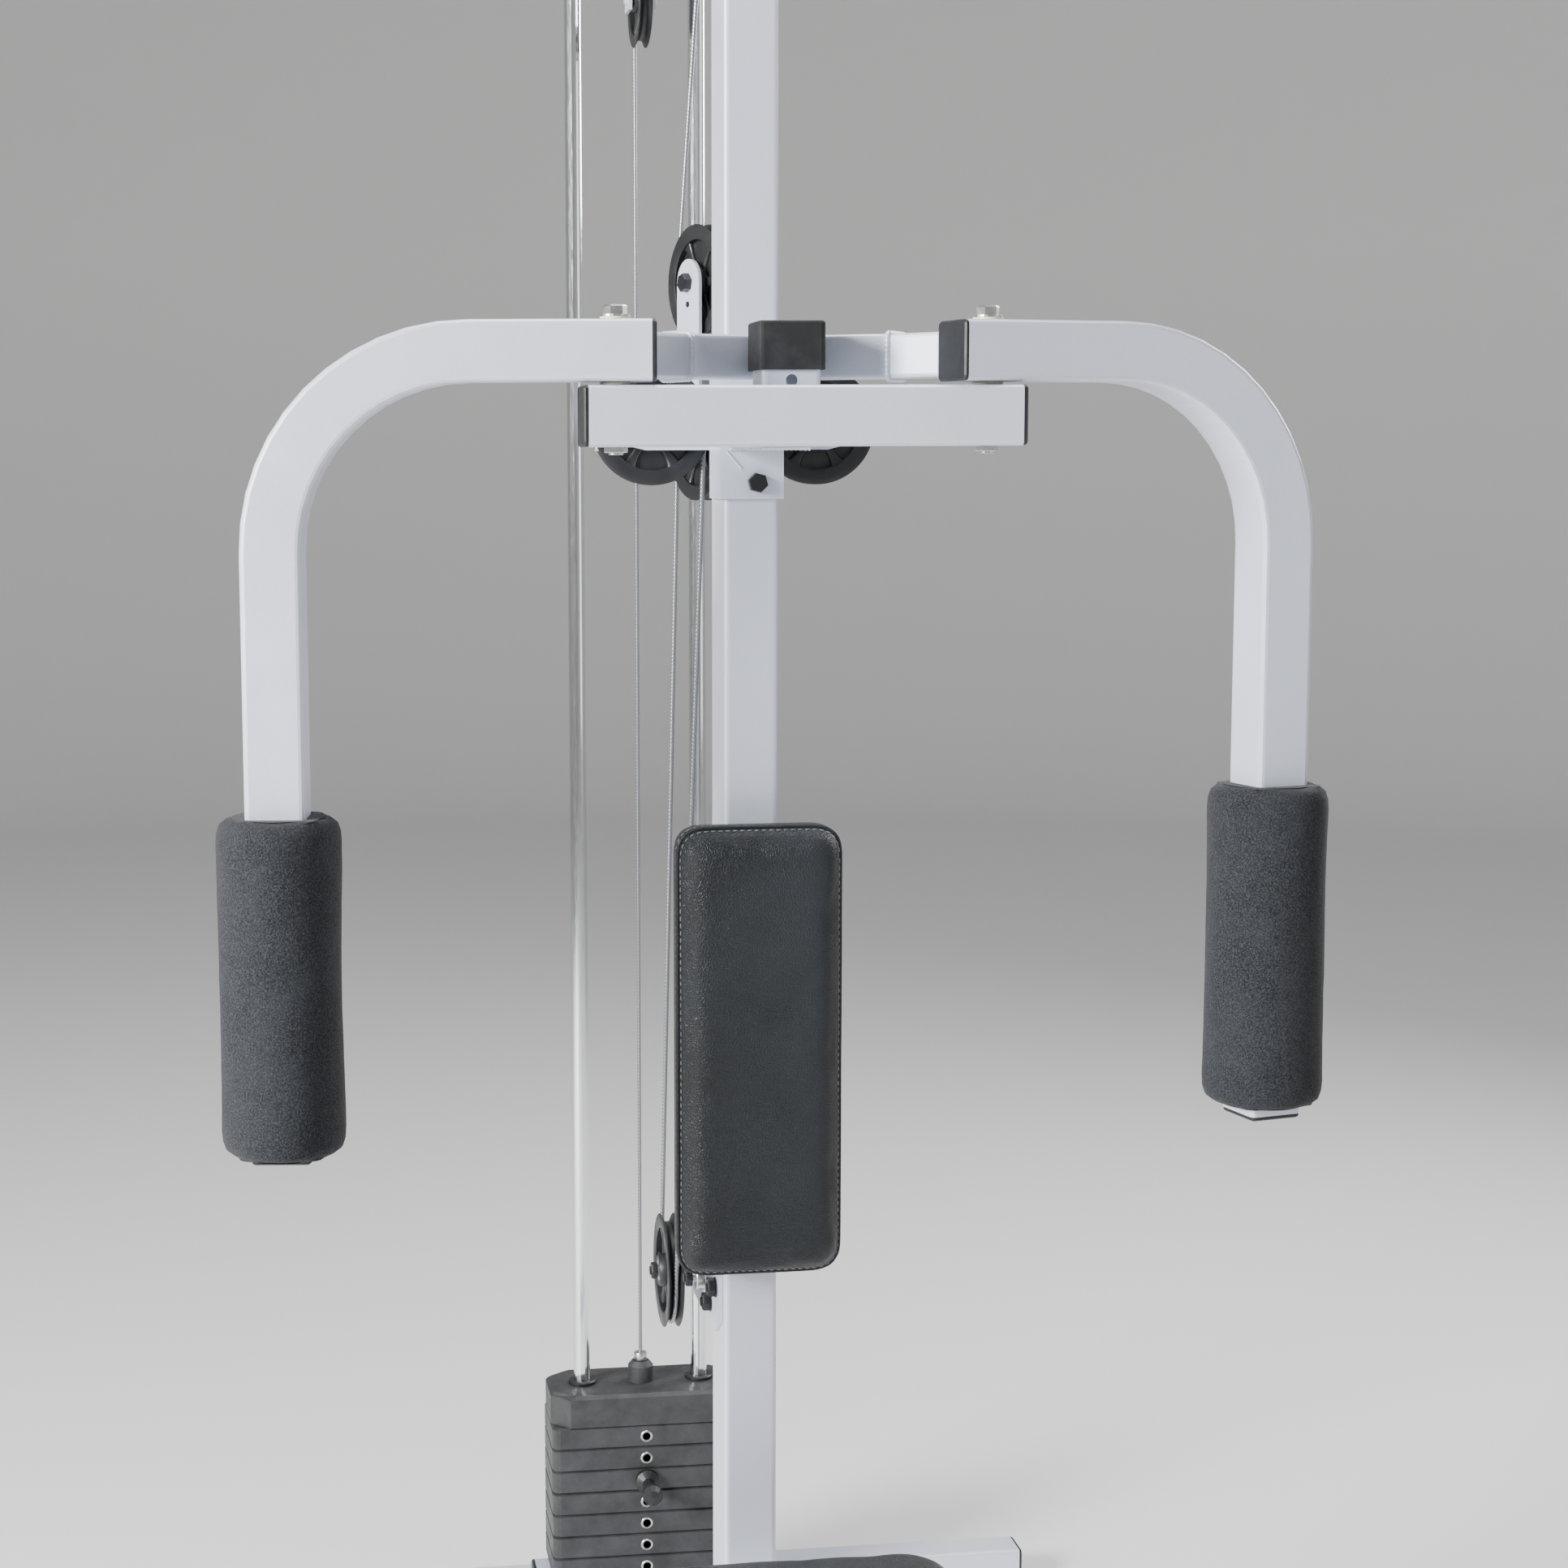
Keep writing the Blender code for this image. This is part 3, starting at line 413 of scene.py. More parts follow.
def swept(name, points, radii, material, sides=10, closed=False):
    """Skins circles along a route. radii is one radius, or one for each point."""
    bm = bmesh.new()
    pts = [Vector(p) for p in points]
    count = len(pts)
    rings, reference = [], None
    for i, point in enumerate(pts):
        ahead = pts[(i + 1) % count] if closed or i + 1 < count else point
        behind = pts[i - 1] if closed or i else point
        along = (ahead - behind).normalized()
        if reference is None:
            reference = basis(along)[1]
        side = (reference - along * reference.dot(along)).normalized()
        reference, other = side, along.cross(side)
        radius = radii[i] if isinstance(radii, list) else radii
        angles = [2 * math.pi * k / sides for k in range(sides)]
        rings.append([bm.verts.new(on_circle(point, side, other, radius, a)) for a in angles])
    for first, second in zip(rings, rings[1:]):
        bridge(bm, first, second)
    if closed:
        bridge(bm, rings[-1], rings[0])
    else:
        bm.faces.new(rings[0])
        bm.faces.new(list(reversed(rings[-1])))
    return finish_mesh(name, bm, material, 50)


def rounded_rect(width, depth, radius, steps=6):
    points = []
    for corner in range(4):
        cx = (width / 2 - radius) * (1 if corner in (0, 3) else -1)
        cy = (depth / 2 - radius) * (1 if corner in (0, 1) else -1)
        for step in range(steps + 1):
            a = math.pi / 2 * (corner + step / steps)
            points.append((cx + radius * math.cos(a), cy + radius * math.sin(a)))
    return points


def dense(points, spacing, closed=False):
    """Points at an even spacing along a polyline."""
    pts = [Vector(p) for p in points]
    if closed:
        pts.append(pts[0])
    total = sum((b - a).length for a, b in zip(pts, pts[1:]))
    count = max(2, round(total / spacing))
    step, made, travelled, target = total / count, [], 0.0, 0.0
    for a, b in zip(pts, pts[1:]):
        length = (b - a).length
        while target <= travelled + length + 1e-9 and length > 0:
            made.append(a.lerp(b, (target - travelled) / length))
            target += step
        travelled += length
    return made[:-1] if closed and len(made) > count else made


def weld(name, points, body, size=0.0032, closed=False):
    """Rippled fillet weld along a route."""
    route = dense(points, 0.0011, closed)
    radii = []
    for i, point in enumerate(route):
        radii.append(size * (0.80 + 0.20 * abs(math.sin(i * 0.85)) + 0.10 * noise.noise(point * 160)))
    bead = swept(name, route, radii, MATERIALS["painted_frame"], 8, closed)
    return piece(bead, body, "painted_frame")


# Height out of the tube, how much narrower than the tube, and corner radius.
CAP_STATIONS = (
    (-0.012, 0.0062, 0.003),
    (0.0002, 0.0062, 0.003),
    (0.0003, 0.0006, 0.0042),
    (0.0020, 0.0004, 0.0045),
    (0.0036, 0.0028, 0.0040),
    (0.0044, 0.0090, 0.0030),
    (0.0046, 0.0200, 0.0020),
)


def end_cap(name, centre, outward, across, body, size=TUBE):
    """Domed plastic cap in the open end of a square tube."""
    outward, across = Vector(outward), Vector(across)
    up = outward.cross(across)
    sections = []
    for height, inset, radius in CAP_STATIONS:
        outline = rounded_rect(size - inset, size - inset, radius, 4)
        sections.append([Vector(centre) + outward * height + across * a + up * b for a, b in outline])
    return piece(loft_sections(name, sections, MATERIALS["black_plastic"]), body, "black_plastic")


# ---------------------------------------------------------------- soft goods

PAD_INSET = 0.0016  # how much smaller a pad starts, before it swells
PAD_SHRINK, PAD_SWELL = -0.0008, 0.0045  # limits of its movement along its own surface's normal
PAD_VOXEL = 0.005
PAD_SLIDE = 0.15  # share of the movement along the surface that is kept
PAD_BACK = 0.0015  # what is nearer than this to the pad's base is laid flat
CLOTH_FRAMES = 20


def from_node(name, inset):
    """A copy of a CAD node's mesh, drawn in by inset on every side."""
    mesh = node_object(name).data.copy()
    centre, size = middle(name), high(name) - low(name)
    for vertex in mesh.vertices:
        for k in range(3):
            vertex.co[k] = centre[k] + (vertex.co[k] - centre[k]) * (1 - 2 * inset / size[k])
    obj = bpy.data.objects.new(f"{name}_cover", mesh)
    bpy.context.scene.collection.objects.link(obj)
    return obj


def apply_modifiers(obj):
    mesh = bpy.data.meshes.new_from_object(obj.evaluated_get(bpy.context.evaluated_depsgraph_get()))
    obj.modifiers.clear()
    old, obj.data = obj.data, mesh
    bpy.data.meshes.remove(old)


def inflate(obj):
    """Runs the cloth simulation and applies its last frame."""
    cloth = obj.modifiers.new("cloth", "CLOTH")
    cloth.settings.use_pressure = True
    cloth.settings.uniform_pressure_force = 4.0
    cloth.settings.effector_weights.gravity = 0.0
    cloth.settings.quality = 4
    cloth.point_cache.frame_start, cloth.point_cache.frame_end = 1, CLOTH_FRAMES
    for step in range(1, CLOTH_FRAMES + 1):
        bpy.context.scene.frame_set(step)
    apply_modifiers(obj)
    bpy.context.scene.frame_set(1)


def lift_off_base(vertex, outward, base, limit, gap):
    """Moves a vertex that is nearer than limit to the pad's base to gap above it."""
    depth = vertex.co.dot(outward) - base
    if depth < limit:
        vertex.co += outward * (gap - depth)


def puffed_pad(name, outward):
    """Pad cover blown up by a cloth simulation, flat on its base, with its movement capped."""
    obj = from_node(name, PAD_INSET)
    obj.data.materials.clear()
    obj.data.materials.append(MATERIALS["charcoal_vinyl"])
    remesh = obj.modifiers.new("remesh", "REMESH")
    remesh.mode, remesh.voxel_size = "VOXEL", PAD_VOXEL
    apply_modifiers(obj)
    rest = [(v.co.copy(), v.normal.copy()) for v in obj.data.vertices]
    inflate(obj)
    outward = Vector(outward)
    base = min(low(name).dot(outward), high(name).dot(outward))
    for vertex, (start, normal) in zip(obj.data.vertices, rest):
        moved = vertex.co - start
        swell = moved.dot(normal)
        slide = (moved - normal * swell) * PAD_SLIDE
        vertex.co = start + normal * max(PAD_SHRINK, min(PAD_SWELL, swell)) + slide
        vertex.co += outward * (noise.noise(start * 28) * 0.0006 + noise.noise(start * 75) * 0.00018)
        lift_off_base(vertex, outward, base, PAD_BACK, 0.0003)
    smooth = obj.modifiers.new("smooth", "SMOOTH")
    smooth.factor, smooth.iterations = 0.5, 8
    detail = obj.modifiers.new("detail", "SUBSURF")
    detail.levels = detail.render_levels = 1
    apply_modifiers(obj)
    for vertex in obj.data.vertices:
        lift_off_base(vertex, outward, base, 0.0004, 0.0004)
    obj.data.shade_smooth()
    piece(obj, "root", "charcoal_vinyl", name)
    return obj


def seam_line(cover, name, outward, share, pull):
    """Points round a pad's side, at a share of its depth, found by rays from outside towards its core."""
    tree = BVHTree.FromObject(cover, bpy.context.evaluated_depsgraph_get())
    outward = Vector(outward)
    up = outward.cross(X)
    size = high(name) - low(name)
    width, height = size.x, abs(size.dot(up))
    level = middle(name) + outward * (abs(size.dot(outward)) * (share - 0.5))
    around = [Vector((a, b, 0)) for a, b in rounded_rect(width + 0.06, height + 0.06, 0.055, 8)]
    core_x, core_y = width / 2 - 0.03, height / 2 - 0.03
    points = []
    for p in dense(around, (width + height) * 2 / 240, True):
        start = level + X * p.x + up * p.y
        aim = level + X * max(-core_x, min(core_x, p.x)) + up * max(-core_y, min(core_y, p.y))
        hit = tree.ray_cast(start, (aim - start).normalized())[0]
        if hit is not None:
            points.append(hit + (start - aim).normalized() * pull)
    return points


STITCH_PITCH, STITCH_RADIUS = 0.0068, 0.00075
STITCH_STEPS = 6  # route points for each stitch and the gap after it
STITCH_LENGTH = 4  # of these, how many the stitch takes
STITCH_PROFILE = ((0, -0.5), (0.6, -0.42), (1.0, -0.2), (1.0, 0.2), (0.6, 0.42), (0, 0.5))


def stitches(name, points, material):
    """A row of short raised stitches along a closed line."""
    route = dense(points, STITCH_PITCH / STITCH_STEPS, True)
    bm = bmesh.new()
    for start in range(0, len(route) - STITCH_STEPS, STITCH_STEPS):
        a, b = route[start], route[start + STITCH_LENGTH]
        along = b - a
        profile = [(r * STITCH_RADIUS, h * along.length) for r, h in STITCH_PROFILE]
        add_turned(bm, profile, (a + b) / 2, along, 6)
    return finish_mesh(name, bm, material, 60)


def make_pad(name, outward):
    """Covered pad with a welt round its side and a row of stitches on each side of the welt."""
    cover = puffed_pad(name, outward)
    line = dense(seam_line(cover, name, outward, 0.66, 0.0004), 0.003, True)
    welt = swept(f"{name}_welt", line, 0.0021, MATERIALS["charcoal_vinyl"], 8, True)
    piece(welt, "root", "charcoal_vinyl")
    for label, share in (("front", 0.76), ("rear", 0.54)):
        line = seam_line(cover, name, outward, share, 0.0002)
        piece(stitches(f"{name}_{label}_stitches", line, THREAD), "root", "charcoal_vinyl")


def make_board():
    """Pad board with rounded corners and an eased edge, tucked behind the back pad."""
    node = "back_pad_board"
    lowest, highest, centre = low(node), high(node), middle(node)
    ease = 0.0015
    width, height = highest.x - lowest.x - 0.004, highest.z - lowest.z - 0.004
    sections = []
    for y, inset in ((lowest.y, 0.0), (highest.y - ease, 0.0), (highest.y, ease)):
        outline = rounded_rect(width - 2 * inset, height - 2 * inset, 0.020)
        sections.append([Vector((centre.x + a, y, centre.z + b)) for a, b in outline])
    piece(loft_sections("pad_backing", sections, MATERIALS["board"]), "root", "board", node)


# How far inside the roller's radius, and how far in from its end, its rolled rim runs.
ROLLER_RIM = ((0.016, 0.0006), (0.008, 0.0022), (0.0030, 0.0062), (0.0008, 0.013))
ROLLER_STEPS = 30


def roller_profile(radius, length, hole):
    rim_end = ROLLER_RIM[-1][1]
    profile = [(hole, 0.0), (hole * 1.5, -0.0002)]
    profile += [(radius - inset, height) for inset, height in ROLLER_RIM]
    for i in range(1, ROLLER_STEPS):
        t = i / ROLLER_STEPS
        waist = math.sin(math.pi * t) * 0.0016
        profile.append((radius - waist, rim_end + (length - 2 * rim_end) * t))
    profile += [(radius - inset, length - height) for inset, height in reversed(ROLLER_RIM)]
    return profile + [(hole * 1.5, length), (hole, length)]


def make_roller(side):
    """Foam sleeve on a square leg, slightly waisted and uneven, with rolled rims."""
    node = f"{side}_foam_roller"
    bottom, top, centre = low(node), high(node), middle(node)
    radius = (top.x - bottom.x) / 2 - 0.0004
    length = top.z - bottom.z
    hole = HALF_TUBE * 1.04
    # The square leg's turn about the vertical, from its sweep at rest.
    pivot = middle(f"{side}_pivot_bolt")
    first = basis(Z)[1]
    turn = math.atan2(centre.y - pivot.y, centre.x - pivot.x) - math.atan2(first.y, first.x)

    def squared(angle, r, height):
        """Uneven on the outside and square round the leg."""
        if r > hole * 1.45:
            spot = Vector((math.cos(angle) * 1.4, math.sin(angle) * 1.4, height * 9)) + X * (SIGN[side] * 3)
            return r + noise.noise(spot) * 0.0009 + noise.noise(spot * 7) * 0.00035
        swing = (angle - turn + math.pi / 4) % (math.pi / 2) - math.pi / 4
        return min(hole / math.cos(swing), hole * 1.30) + (r - hole)

    profile = roller_profile(radius, length, hole)
    place = (centre.x, centre.y, bottom.z)
    made = turned(f"{side}_roller", profile, place, Z, MATERIALS["charcoal_foam"], 96, squared)
    piece(made, f"{side}_arm", "charcoal_foam", node)


# ---------------------------------------------------------------- hardware

BLOCK_TURN = math.radians(19)
BLOCK_ALONG = Vector((-math.sin(BLOCK_TURN), math.cos(BLOCK_TURN), 0))
BLOCK_SQUARE = Vector((-math.cos(BLOCK_TURN), -math.sin(BLOCK_TURN), 0))
PULLEY_AXES = {
    "left_pec_pulley": Y,
    "right_pec_pulley": Y,
    "block_upper_pulley": BLOCK_SQUARE,
    "block_lower_pulley": BLOCK_SQUARE,
    "front_boom_pulley": X,
    "rear_boom_pulley": X,
    "low_pulley": X,
}
RIM, GROOVE, HALF_WIDTH, BORE = 0.0569, 0.0488, 0.0109, 0.0052
ROUTE_RADIUS = 0.0515  # to the centre of a cable in the groove
SPOKES = 6
# Distance from the axle, half width and half thickness along a spoke.
SPOKE_STATIONS = (
    (0.0160, 0.0062, 0.0050),
    (0.022, 0.0046, 0.0045),
    (0.032, 0.0044, 0.0042),
    (0.040, 0.0060, 0.0050),
    (0.0440, 0.0085, 0.0058),
)


def mirrored(profile):
    """A turned profile and its mirror image across the middle plane."""
    return profile + [(radius, -height) for radius, height in reversed(profile)]


def add_spoke(bm, centre, axis, radial):
    tangent = axis.cross(radial)
    rings = []
    for reach, half_across, half_thick in SPOKE_STATIONS:
        outline = rounded_rect(2 * half_across, 2 * half_thick, min(half_across, half_thick) * 0.6, 3)
        rings.append([bm.verts.new(centre + radial * reach + tangent * p + axis * q) for p, q in outline])
    add_loft(bm, rings)


def make_pulley(name):
    """Spoked pulley: grooved rim, thin web, tapered spokes, hub and a steel bearing."""
    centre = middle(name)
    axis, side, other = basis(PULLEY_AXES[name])
    face = -HALF_WIDTH
    bm = bmesh.new()
    rim = [(0.0425, -0.0070), (0.0445, -0.0078), (RIM - 0.001, -0.0080), (RIM, -0.0074), (RIM, -0.0068)]
    rim += [(GROOVE + 0.0015, -0.0038), (GROOVE, -0.0018)]
    add_turned(bm, mirrored(rim), centre, axis, 72)
    hub = [(BORE + 0.0052, face + 0.0004), (0.0150, face), (0.0160, face + 0.0012), (0.0172, -0.0040)]
    add_turned(bm, mirrored(hub), centre, axis)
    for spoke in range(SPOKES):
        a = 2 * math.pi * spoke / SPOKES
        add_spoke(bm, centre, axis, side * math.cos(a) + other * math.sin(a))
    add_turned(bm, [(0.0165, -0.0012), (0.0430, -0.0012), (0.0430, 0.0012), (0.0165, 0.0012)], centre, axis)
    piece(finish_mesh(f"{name}_wheel", bm, MATERIALS["black_plastic"]), name, "black_plastic", name)
    bearing = mirrored([(BORE, face + 0.0002), (BORE + 0.0050, face + 0.0002)])
    turned_piece(f"{name}_bearing", bearing, centre, axis, "zinc", 40, name)


def washer(name, centre, axis, radius, slot="zinc", thickness=0.0012, bore=0.005):
    profile = [(bore, 0), (radius - 0.0004, 0), (radius, 0.0003), (radius, thickness - 0.0003)]
    profile += [(radius - 0.0004, thickness), (bore, thickness)]
    turned_piece(name, profile, centre, axis, slot, 40)


def hex_nut(name, centre, axis, flats, height):
    """Chamfered hex nut with the bolt's domed end in it."""

    def hexagon(angle, r, _):
        swing = angle % (math.pi / 3) - math.pi / 6
        return r / math.cos(swing) if r > flats * 0.42 else r

    profile = [(0, 0), (flats * 0.40, 0), (flats / 2, 0.0004), (flats / 2, height * 0.82)]
    profile += [(flats * 0.46, height), (flats * 0.30, height), (flats * 0.28, height + 0.0016)]
    profile.append((0, height + 0.0020))
    nut = turned(name, profile, centre, axis, MATERIALS["black_steel"], 48, hexagon)
    piece(nut, "root", "black_steel")


# ---------------------------------------------------------------- cables


def wrap(centre, first, second, start, end):
    """Route round a pulley, from one angle to another in degrees."""
    steps = 20
    angles = [math.radians(start + (end - start) * i / steps) for i in range(steps + 1)]
    return [on_circle(centre, first, second, ROUTE_RADIUS, a) for a in angles]


def held_run(name, route, body, *replaced):
    """Cable that lies in the grooves of its pulleys."""
    piece(swept(name, route, CABLE_RADIUS, CABLE, 12), body, "zinc", *replaced)


def free_run(name, bottom, top):
    """Straight cable between points on two bodies, from start to end."""
    made = swept(name, dense([bottom, top], 0.02), CABLE_RADIUS, CABLE, 12)
    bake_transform(made)


def ferrule(name, top, length):
    """Swaged steel sleeve on a cable's end, with two grooves round it."""
    profile = [(0.0, 0.0), (0.0024, 0), (0.0036, 0.0012), (0.0042, 0.003), (0.0042, 0.009), (0.0039, 0.0105)]
    profile += [(0.0042, 0.012), (0.0042, 0.020), (0.0039, 0.0215), (0.0042, 0.023), (0.0042, length - 0.001)]
    profile += [(0.0036, length), (0.0, length)]
    turned_piece(name, profile, top, -Z, "zinc", 32)


def bar(radius, length):
    """Profile of a plain round bar."""
    return [(0, 0), (radius, 0), (radius, length), (0, length)]


def make_stack_cable(head):
    """From the stack over the boom, down round the block's upper pulley and up to its anchor in the boom."""
    upper, front, rear = middle("block_upper_pulley"), middle("front_boom_pulley"), middle("rear_boom_pulley")
    rear_down = Vector((0, head.y, rear.z))
    free_run("cable_to_stack", head + Z * 0.001, rear_down)
    held_run("cable_over_boom", wrap(rear, Y, Z, 0, 90) + wrap(front, Y, Z, 90, 180), "root", "stack_cable")
    feed, into = front - Y * ROUTE_RADIUS, upper + BLOCK_ALONG * ROUTE_RADIUS
    free_run("cable_to_block", into, feed)
    held_run("cable_under_block_pulley", wrap(upper, BLOCK_ALONG, Z, 0, -180), "floating_block")
    out = upper - BLOCK_ALONG * ROUTE_RADIUS
    fixed = Vector((out.x, out.y, low("top_boom").z - 0.0010))
    free_run("cable_to_boom_anchor", out, fixed)
    ferrule("boom_anchor_ferrule", fixed, 0.034)
    washer("boom_anchor_washer", fixed + Z * 0.0007, -Z, 0.011, bore=0.0026, thickness=0.0018)


def make_pec_cable(low_end, pec_end):
    """From the low anchor over the block, down round the low pulley and up over the left pec pulley."""
    lower, bottom, left = middle("block_lower_pulley"), middle("low_pulley"), middle("left_pec_pulley")
    behind, ahead = lower + BLOCK_ALONG * ROUTE_RADIUS, lower - BLOCK_ALONG * ROUTE_RADIUS
    held_run("cable_over_block_pulley", wrap(lower, BLOCK_ALONG, Z, 180, 0), "floating_block")
    bottom_rear = bottom + Y * ROUTE_RADIUS
    free_run("cable_down_rear", bottom_rear, behind)
    free_run("cable_down_front", low_end, ahead)
    route = wrap(bottom, Y, Z, 0, -180) + wrap(left, X, Z, 0, 180) + [pec_end]
    held_run("cable_to_pec_pulley", route, "root", "pec_cable")


def make_anchors(head, low_end, pec_end):
    """Eye on a stud for the pec cable's low end, post for its upper end, and collar on the stack's head."""
    ferrule("low_anchor_ferrule", low_end + Z * 0.012, 0.046)
    eye_z = middle("low_pulley").z + 0.022
    stud_length = 0.0195
    bolt_at = (BRACKET_FACE - stud_length, low_end.y, eye_z)
    hex_nut("low_anchor_bolt", bolt_at, -X, 0.015, 0.007)
    eye = [(0.0042, 0), (0.0110, 0), (0.0118, 0.001), (0.0118, 0.008), (0.0110, 0.009), (0.0042, 0.009)]
    turned_piece("low_anchor_eye", eye, (low_end.x + 0.0045, low_end.y, eye_z), -X, "zinc", 40)
    stud_at = (BRACKET_FACE, low_end.y, eye_z)
    turned_piece("low_anchor_stud", bar(0.0046, stud_length), stud_at, -X, "zinc", 24)
    shank_at = (low_end.x, low_end.y, eye_z + 0.010)
    turned_piece("low_anchor_shank", bar(0.0042, 0.026), shank_at, Z, "zinc", 24)
    ferrule("pec_anchor_ferrule", pec_end + Z * 0.014, 0.028)
    plate_rear = high("pulley_plate").y
    reach = pec_end.y - plate_rear
    post = [(0, 0), (0.0085, 0), (0.0085, 0.004), (0.0055, 0.005), (0.0055, reach), (0, reach)]
    post_at = (pec_end.x, plate_rear + 0.0001, pec_end.z - 0.002)
    turned_piece("pec_anchor_post", post, post_at, Y, "zinc", 32)
    collar = [(0.0027, 0), (0.0075, 0), (0.0082, 0.001), (0.0082, 0.009), (0.0075, 0.010), (0.0027, 0.010)]
    turned_piece("stack_cable_collar", collar, head + Z * 0.0004, Z, "zinc", 32, "weight_stack")


def make_cables():
    head = Vector((0, middle("rear_boom_pulley").y + ROUTE_RADIUS, high("stack_head").z))
    low_end = Vector((-0.0420, UPRIGHT_FRONT + 0.050, middle("low_pulley").z + 0.078))
    pec_end = middle("left_pec_pulley") - X * ROUTE_RADIUS - Z * 0.010
    make_stack_cable(head)
    make_pec_cable(low_end, pec_end)
    make_anchors(head, low_end, pec_end)


# ---------------------------------------------------------------- levers and welds

LEVER = 0.0381
LEVER_LEVEL = CROSS_TOP + 0.0265
LEVER_KNEE = (0.0856, CROSS_FRONT + 0.0853)
LEVER_TIP = (0.0220, CROSS_FRONT + 0.1103)
ARM_INNER = 0.0303  # the arm tube past its pivot, towards the middle
SWEEP = {"left": math.radians(7.3), "right": math.radians(12.9)}


def lever_stations(side):
    """Front line of a lever at its root, knee and tip, and the direction in which its tip points.

    Each station has the way across the lever, which is longer than 1 where the section is cut at a slant.
    """
    sign = SIGN[side]
    turn = Matrix.Rotation(sign * SWEEP[side], 3, "Z")
    corner = turn @ Vector((-sign * ARM_INNER, HALF_TUBE + 0.0003, 0)) + middle(f"{side}_pivot_bolt")
    root = Vector((corner.x, corner.y + 0.0020, LEVER_LEVEL))
    knee = Vector((sign * LEVER_KNEE[0], LEVER_KNEE[1], LEVER_LEVEL))
    tip = Vector((sign * LEVER_TIP[0], LEVER_TIP[1], LEVER_LEVEL))
    first, second = (knee - root).normalized(), (tip - knee).normalized()
    behind = [Vector((-d.y, d.x, 0)) * -sign for d in (first, second)]
    along_face = turn @ Vector((sign, 0, 0))
    mitre = (behind[0] + behind[1]).normalized()
    slant = along_face * (1 / behind[0].dot(along_face))
    return [(root, slant), (knee, mitre * (1 / mitre.dot(behind[1]))), (tip, behind[1])], second


def make_lever_welds(side):
    outline = rounded_rect(LEVER + 0.0004, LEVER + 0.0004, 0.0035, 3)
    for label, (centre, across) in zip(("root", "elbow"), lever_stations(side)[0]):
        ring = [centre + across * (LEVER / 2 + a) + Z * b for a, b in outline]
        weld(f"{side}_lever_{label}_weld", ring, f"{side}_arm", 0.0030, True)


def cross_weld(name, y, z, size=0.0032, inset=0.004):
    """Weld across the full width of a tube that runs fore and aft."""
    weld(name, [Vector((-HALF_TUBE + inset, y, z)), Vector((HALF_TUBE - inset, y, z))], "root", size)


def make_welds():
    half_depth = 0.0381  # the upright's
    for name, y, z, half in (
        ("upright_foot_weld", middle("upright").y, low("upright").z, half_depth),
        ("upright_head_weld", middle("upright").y, high("upright").z, half_depth),
        ("seat_post_weld", middle("seat_post").y, low("seat_post").z, HALF_TUBE),
    ):
        for label, sign in (("front", -1), ("rear", 1)):
            cross_weld(f"{name}_{label}", y + sign * (half + 0.0004), z)
    for label, y in (("front", high("front_foot_tube").y), ("rear", low("rear_foot_tube").y)):
        cross_weld(f"{label}_foot_weld_top", y, TUBE - 0.0008, 0.0028, 0.003)
        for side, sign in SIGN.items():
            corner = [Vector((sign * HALF_TUBE, y, z)) for z in (0.006, TUBE - 0.004)]
            weld(f"{label}_foot_weld_{side}", corner, "root", 0.0028)
    for label, y in (("front", low("forward_beam").y), ("rear", high("forward_beam").y)):
        cross_weld(f"beam_{label}_weld_under", y, low("forward_beam").z)
    post_x, post_y = middle("stop_post").x, low("stop_post").y
    for side, sign in SIGN.items():
        x = post_x + sign * HALF_TUBE
        corner = [Vector((x, post_y, z)) for z in (CROSS_TOP - TUBE + 0.006, CROSS_TOP - 0.004)]
        weld(f"post_weld_{side}", corner, "root", 0.0026)
    for side in SIGN:
        make_lever_welds(side)


# ---------------------------------------------------------------- small parts


def make_end_caps():
    for node, label in (("front_foot_tube", "front"), ("rear_foot_tube", "rear"), ("stack_foot", "stack")):
        centre = middle(node)
        for side, sign, end_x in (("left", -1, low(node).x), ("right", 1, high(node).x)):
            end_cap(f"{label}_{side}_cap", (end_x, centre.y, centre.z), X * sign, Y, "root")
    boom_z = middle("top_boom").z
    end_cap("boom_front_cap", (0, low("top_boom").y, boom_z), -Y, X, "root")
    end_cap("boom_rear_cap", (0, high("top_boom").y, boom_z), Y, X, "root")
    for side in SIGN:
        stations, direction = lever_stations(side)
        tip, across = stations[2]
        end_cap(f"{side}_lever_cap", tip + across * (LEVER / 2), direction, Z, f"{side}_arm", LEVER)


def make_low_bracket_bolts():
    """Two bolts that hold the low bracket on the upright, and the nut on its pulley's stud."""
    hub = middle("low_pulley")
    for k, (y, z) in enumerate(((0.028, 0.018), (0.060, -0.006))):
        spot = Vector((BRACKET_FACE, UPRIGHT_FRONT + y, hub.z + z))
        washer(f"low_bracket_washer_{k}", spot + X * 0.0001, -X, 0.0100, "black_steel")
        hex_nut(f"low_bracket_bolt_{k}", spot - X * 0.0012, -X, 0.0160, 0.0070)
    hex_nut("low_pulley_nut", (low("low_pulley").x - 0.0006, hub.y, hub.z), -X, 0.0150, 0.0065)


def make_block_hole_shade():
    """Small black disc below the block's upper bolt, painted shade that stands for a hole in the block's plate.
    """
    plate_face = middle("block_upper_pulley") + BLOCK_SQUARE * 0.0152
    spot = plate_face - Z * 0.021 + BLOCK_SQUARE * 0.0001
    hole_shade_disc = [(0, 0), (0.0028, 0), (0.0030, 0.0003), (0.0026, 0.0009), (0, 0.0010)]
    # a black disc as painted shade for the hole, not a real dowel
    turned_piece("block_hole_shade", hole_shade_disc, spot, BLOCK_SQUARE, "black_steel", 24, "floating_block")


def make_saddle_fold():
    """Slanting fold pressed on the saddle's front."""
    front = UPRIGHT_FRONT - 0.0044
    ends = [Vector((-0.024, front, CROSS_TOP - 0.054)), Vector((-0.010, front, CROSS_TOP - 0.070))]
    fold = swept("saddle_fold", dense(ends, 0.002), 0.0012, MATERIALS["painted_frame"], 8)
    piece(fold, "root", "painted_frame")


